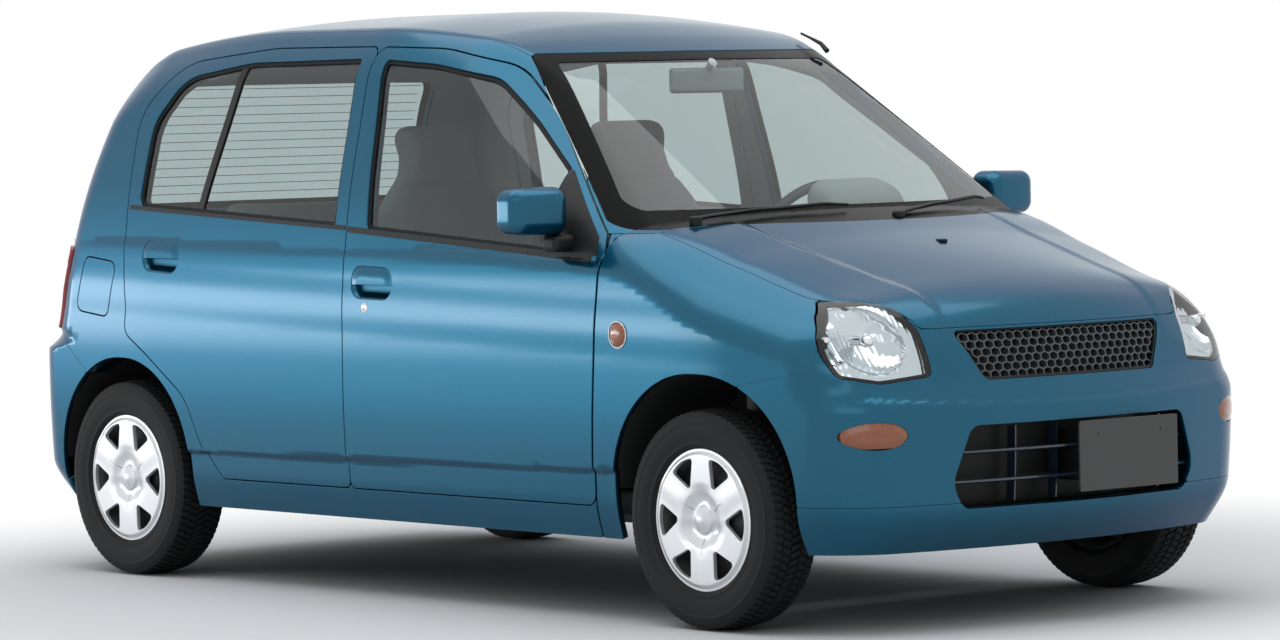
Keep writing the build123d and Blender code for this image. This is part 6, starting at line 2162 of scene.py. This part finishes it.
def area_lamp(name, place, target, width, height, watts):
    """A rectangular lamp aimed at a target and unseen by the camera."""
    data = bpy.data.lights.new(name, "AREA")
    data.shape, data.size, data.size_y, data.energy = "RECTANGLE", width, height, watts
    lamp = bpy.data.objects.new(name, data)
    lamp.visible_camera = False
    lamp.location = place
    lamp.rotation_euler = (Vector(target) - Vector(place)).to_track_quat("-Z", "Y").to_euler()
    bpy.context.scene.collection.objects.link(lamp)


def make_stage():
    """Floor, world and lamps."""
    bpy.context.scene.view_settings.view_transform = "Standard"
    floor_half = 40.0
    mesh = bpy.data.meshes.new("studio_floor")
    corners = [(-floor_half, -floor_half, 0), (floor_half, -floor_half, 0), (floor_half, floor_half, 0),
               (-floor_half, floor_half, 0)]
    mesh.from_pydata(corners, [], [(0, 1, 2, 3)])
    floor = bpy.data.objects.new("studio_floor", mesh)
    bpy.context.scene.collection.objects.link(floor)
    material = studio_floor()
    mesh.materials.append(material)
    world = bpy.data.worlds.new("studio_world")
    bpy.context.scene.world = world
    world.use_nodes = True
    tree = world.node_tree
    tree.nodes.clear()
    where = node(tree, "ShaderNodeTexCoord")
    split = node(tree, "ShaderNodeSeparateXYZ", {"Vector": where.outputs["Generated"]})
    rise = node(tree, "ShaderNodeMapRange", {"Value": split.outputs["Z"]}, From_Min=0.0, From_Max=0.75,
                To_Min=0.16, To_Max=0.85, interpolation_type="SMOOTHSTEP")
    dome = node(tree, "ShaderNodeBackground", {"Strength": rise.outputs["Result"]})
    dome.inputs["Color"].default_value = colour("#edf1f5")
    white = node(tree, "ShaderNodeBackground", Strength=1.0)
    white.inputs["Color"].default_value = (1, 1, 1, 1)
    mix = node(tree, "ShaderNodeMixShader",
               {0: background_rays(tree).outputs["Value"], 1: dome.outputs[0], 2: white.outputs[0]})
    node(tree, "ShaderNodeOutputWorld", {"Surface": mix.outputs[0]})
    area_lamp("overhead_softbox", (0.4, -0.4, 4.8), (0.2, 0.0, 0.6), 7.0, 4.5, 140.0)
    area_lamp("camera_side_softbox", (6.5, -7.5, 4.2), (0.2, 0.0, 0.7), 5.0, 2.4, 30.0)
    area_lamp("flank_strip", (-6.7, -5.6, 0.85), (0.0, 0.0, 0.7), 7.5, 0.75, 120.0)


# ---------------------------------------------------------------------------
# Finishes of the frame's own pieces, operators and panel
# ---------------------------------------------------------------------------
NODE_FINISH = {"cowl": "black", "wipers": "black", "lower_grille": "black", "front_plate": "plate",
               "rear_plate": "plate", "grille": "grille", "dashboard": "dark_trim",
               "steering_wheel": "dark_trim", "interior_mirror": "dark_trim", "front_seats": "cloth",
               "rear_bench": "cloth", "floor_pan": "chassis", "firewall": "chassis",
               "front_subframe": "chassis", "fuel_tank": "chassis", "exhaust": "iron",
               "rear_axle": "chassis", "engine_block": "iron", "headlamps": "reflector",
               "indicator_lamps": "amber", "roof_panel": "paint"}
NODE_WORDS = (("wheel_", "silver"), ("tyre_", "tyre"), ("knuckle_", "iron"), ("glass", "glass"))


def cad_finishes():
    """Gives each node of the frame the finish of its name or, failing that, of a word in its name."""
    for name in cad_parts:
        words = [finish for word, finish in NODE_WORDS if word in name]
        key = NODE_FINISH.get(name) or (words[0] if words else "paint")
        obj = bpy.data.objects.get(name)
        obj.data.materials.clear()
        obj.data.materials.append(FINISHES[key])


class HATCHBACK_OT_finishes(bpy.types.Operator):
    """Every material of the car"""
    bl_idname = "hatchback.finishes"
    bl_label = "Finishes"

    def execute(self, context):
        make_finishes()
        return {"FINISHED"}


class HATCHBACK_OT_camera(bpy.types.Operator):
    """The camera of the stage"""
    bl_idname = "hatchback.camera"
    bl_label = "Camera"

    def execute(self, context):
        make_camera()
        return {"FINISHED"}


class HATCHBACK_OT_stage(bpy.types.Operator):
    """Floor, world and lamps"""
    bl_idname = "hatchback.stage"
    bl_label = "Stage"

    def execute(self, context):
        make_stage()
        return {"FINISHED"}


class HATCHBACK_OT_doors(bpy.types.Operator):
    """Skins and panes of the four side doors"""
    bl_idname = "hatchback.doors"
    bl_label = "Doors"

    def execute(self, context):
        make_doors()
        return {"FINISHED"}


class HATCHBACK_OT_body_sides(bpy.types.Operator):
    """Body side skins and the fuel lid"""
    bl_idname = "hatchback.body_sides"
    bl_label = "Body sides"

    def execute(self, context):
        make_body_sides()
        return {"FINISHED"}


class HATCHBACK_OT_outer_panels(bpy.types.Operator):
    """Roof, hood, fenders, bumpers, tailgate, tail lamps and windshield"""
    bl_idname = "hatchback.outer_panels"
    bl_label = "Outer panels"

    def execute(self, context):
        make_outer_panels()
        return {"FINISHED"}


class HATCHBACK_OT_wheels(bpy.types.Operator):
    """Tyres with tread, rims and slotted covers"""
    bl_idname = "hatchback.wheels"
    bl_label = "Wheels"

    def execute(self, context):
        make_wheels()
        return {"FINISHED"}


class HATCHBACK_OT_headlamps(bpy.types.Operator):
    """Lenses, seals, reflectors and bulbs of the headlamps"""
    bl_idname = "hatchback.headlamps"
    bl_label = "Headlamps"

    def execute(self, context):
        make_headlamps()
        return {"FINISHED"}


class HATCHBACK_OT_grille(bpy.types.Operator):
    """Honeycomb grille with its frame and backing"""
    bl_idname = "hatchback.grille"
    bl_label = "Grille"

    def execute(self, context):
        make_grille()
        return {"FINISHED"}


class HATCHBACK_OT_signals(bpy.types.Operator):
    """Turn signals and round side markers"""
    bl_idname = "hatchback.signals"
    bl_label = "Signals"

    def execute(self, context):
        make_signals()
        return {"FINISHED"}


class HATCHBACK_OT_plates(bpy.types.Operator):
    """Blank front plate with its border and screws"""
    bl_idname = "hatchback.plates"
    bl_label = "Plates"

    def execute(self, context):
        make_plates()
        return {"FINISHED"}


class HATCHBACK_OT_mirrors(bpy.types.Operator):
    """Door mirrors and their sails"""
    bl_idname = "hatchback.mirrors"
    bl_label = "Mirrors"

    def execute(self, context):
        make_mirrors()
        return {"FINISHED"}


class HATCHBACK_OT_handles(bpy.types.Operator):
    """Door handles, their recesses and key cylinders"""
    bl_idname = "hatchback.handles"
    bl_label = "Handles"

    def execute(self, context):
        make_handles()
        return {"FINISHED"}


class HATCHBACK_OT_strips(bpy.types.Operator):
    """Seals of the door and tailgate windows, and the dark band of the windshield"""
    bl_idname = "hatchback.strips"
    bl_label = "Strips"

    def execute(self, context):
        make_strips()
        return {"FINISHED"}


class HATCHBACK_OT_side_details(bpy.types.Operator):
    """Rear window dividers and belt mouldings"""
    bl_idname = "hatchback.side_details"
    bl_label = "Side details"

    def execute(self, context):
        make_side_details()
        return {"FINISHED"}


class HATCHBACK_OT_liners(bpy.types.Operator):
    """Liners of the four wheel arches"""
    bl_idname = "hatchback.liners"
    bl_label = "Wheelhouse liners"

    def execute(self, context):
        make_liners()
        return {"FINISHED"}


class HATCHBACK_OT_tail(bpy.types.Operator):
    """Heater lines, blank plate and grip of the tailgate"""
    bl_idname = "hatchback.tail"
    bl_label = "Tail"

    def execute(self, context):
        make_tail()
        return {"FINISHED"}


class HATCHBACK_OT_wipers(bpy.types.Operator):
    """Wiper arms and the washer jet"""
    bl_idname = "hatchback.wipers"
    bl_label = "Wipers"

    def execute(self, context):
        make_wipers()
        return {"FINISHED"}


class HATCHBACK_OT_antenna(bpy.types.Operator):
    """Antenna stub above the left front pillar"""
    bl_idname = "hatchback.antenna"
    bl_label = "Antenna"

    def execute(self, context):
        make_antenna()
        return {"FINISHED"}


class HATCHBACK_OT_air_opening(bpy.types.Operator):
    """Slats, uprights and duct of the bumper opening"""
    bl_idname = "hatchback.air_opening"
    bl_label = "Air opening"

    def execute(self, context):
        make_air_opening()
        return {"FINISHED"}


class HATCHBACK_OT_seats(bpy.types.Operator):
    """Padded front seats and rear bench"""
    bl_idname = "hatchback.seats"
    bl_label = "Seats"

    def execute(self, context):
        make_seats()
        return {"FINISHED"}


class HATCHBACK_OT_steering_wheel(bpy.types.Operator):
    """Rim, spokes and boss of the steering wheel"""
    bl_idname = "hatchback.steering_wheel"
    bl_label = "Steering wheel"

    def execute(self, context):
        make_steering_wheel()
        return {"FINISHED"}


class HATCHBACK_OT_dash(bpy.types.Operator):
    """Parts of the dashboard, the interior mirror and the armrests"""
    bl_idname = "hatchback.dash"
    bl_label = "Dashboard"

    def execute(self, context):
        make_dash()
        return {"FINISHED"}


class HATCHBACK_OT_frame_finishes(bpy.types.Operator):
    """Materials of the frame's own nodes"""
    bl_idname = "hatchback.frame_finishes"
    bl_label = "Frame finishes"

    def execute(self, context):
        cad_finishes()
        return {"FINISHED"}


PIECE_OPERATORS = (
    HATCHBACK_OT_finishes, HATCHBACK_OT_camera, HATCHBACK_OT_stage, HATCHBACK_OT_doors,
    HATCHBACK_OT_body_sides, HATCHBACK_OT_outer_panels, HATCHBACK_OT_wheels, HATCHBACK_OT_headlamps,
    HATCHBACK_OT_grille, HATCHBACK_OT_signals, HATCHBACK_OT_plates, HATCHBACK_OT_mirrors,
    HATCHBACK_OT_handles, HATCHBACK_OT_strips, HATCHBACK_OT_side_details, HATCHBACK_OT_liners,
    HATCHBACK_OT_tail, HATCHBACK_OT_wipers, HATCHBACK_OT_antenna, HATCHBACK_OT_air_opening,
    HATCHBACK_OT_seats, HATCHBACK_OT_steering_wheel, HATCHBACK_OT_dash, HATCHBACK_OT_frame_finishes,
)


class HATCHBACK_PT_sidebar(bpy.types.Panel):
    """Sizes, colours and pieces of the hatchback"""
    bl_idname = "HATCHBACK_PT_sidebar"
    bl_label = "Hatchback"
    bl_space_type = "VIEW_3D"
    bl_region_type = "UI"
    bl_category = "Hatchback"

    def draw(self, context):
        for group in (context.scene.hatchback_sizes, context.scene.hatchback_shades):
            for key in type(group).__annotations__:
                self.layout.prop(group, key)
        for operator in PIECE_OPERATORS:
            self.layout.operator(operator.bl_idname)


CLASSES = (HatchbackSizes, HatchbackShades) + PIECE_OPERATORS + (HATCHBACK_PT_sidebar,)


def register():
    """Registers the classes and hangs their settings on the scene."""
    for item in CLASSES:
        bpy.utils.register_class(item)
    bpy.types.Scene.hatchback_sizes = bpy.props.PointerProperty(type=HatchbackSizes)
    bpy.types.Scene.hatchback_shades = bpy.props.PointerProperty(type=HatchbackShades)


def unregister():
    """Takes the settings and the classes away."""
    del bpy.types.Scene.hatchback_shades
    del bpy.types.Scene.hatchback_sizes
    for item in reversed(CLASSES):
        bpy.utils.unregister_class(item)


def main():
    """Builds every piece in order."""
    register()
    for operator in PIECE_OPERATORS:
        call = getattr(bpy.ops.hatchback, operator.bl_idname.split(".")[1])
        if call() != {"FINISHED"}:
            raise RuntimeError(f"{operator.bl_idname} did not finish")


if __name__ == "__main__":
    main()
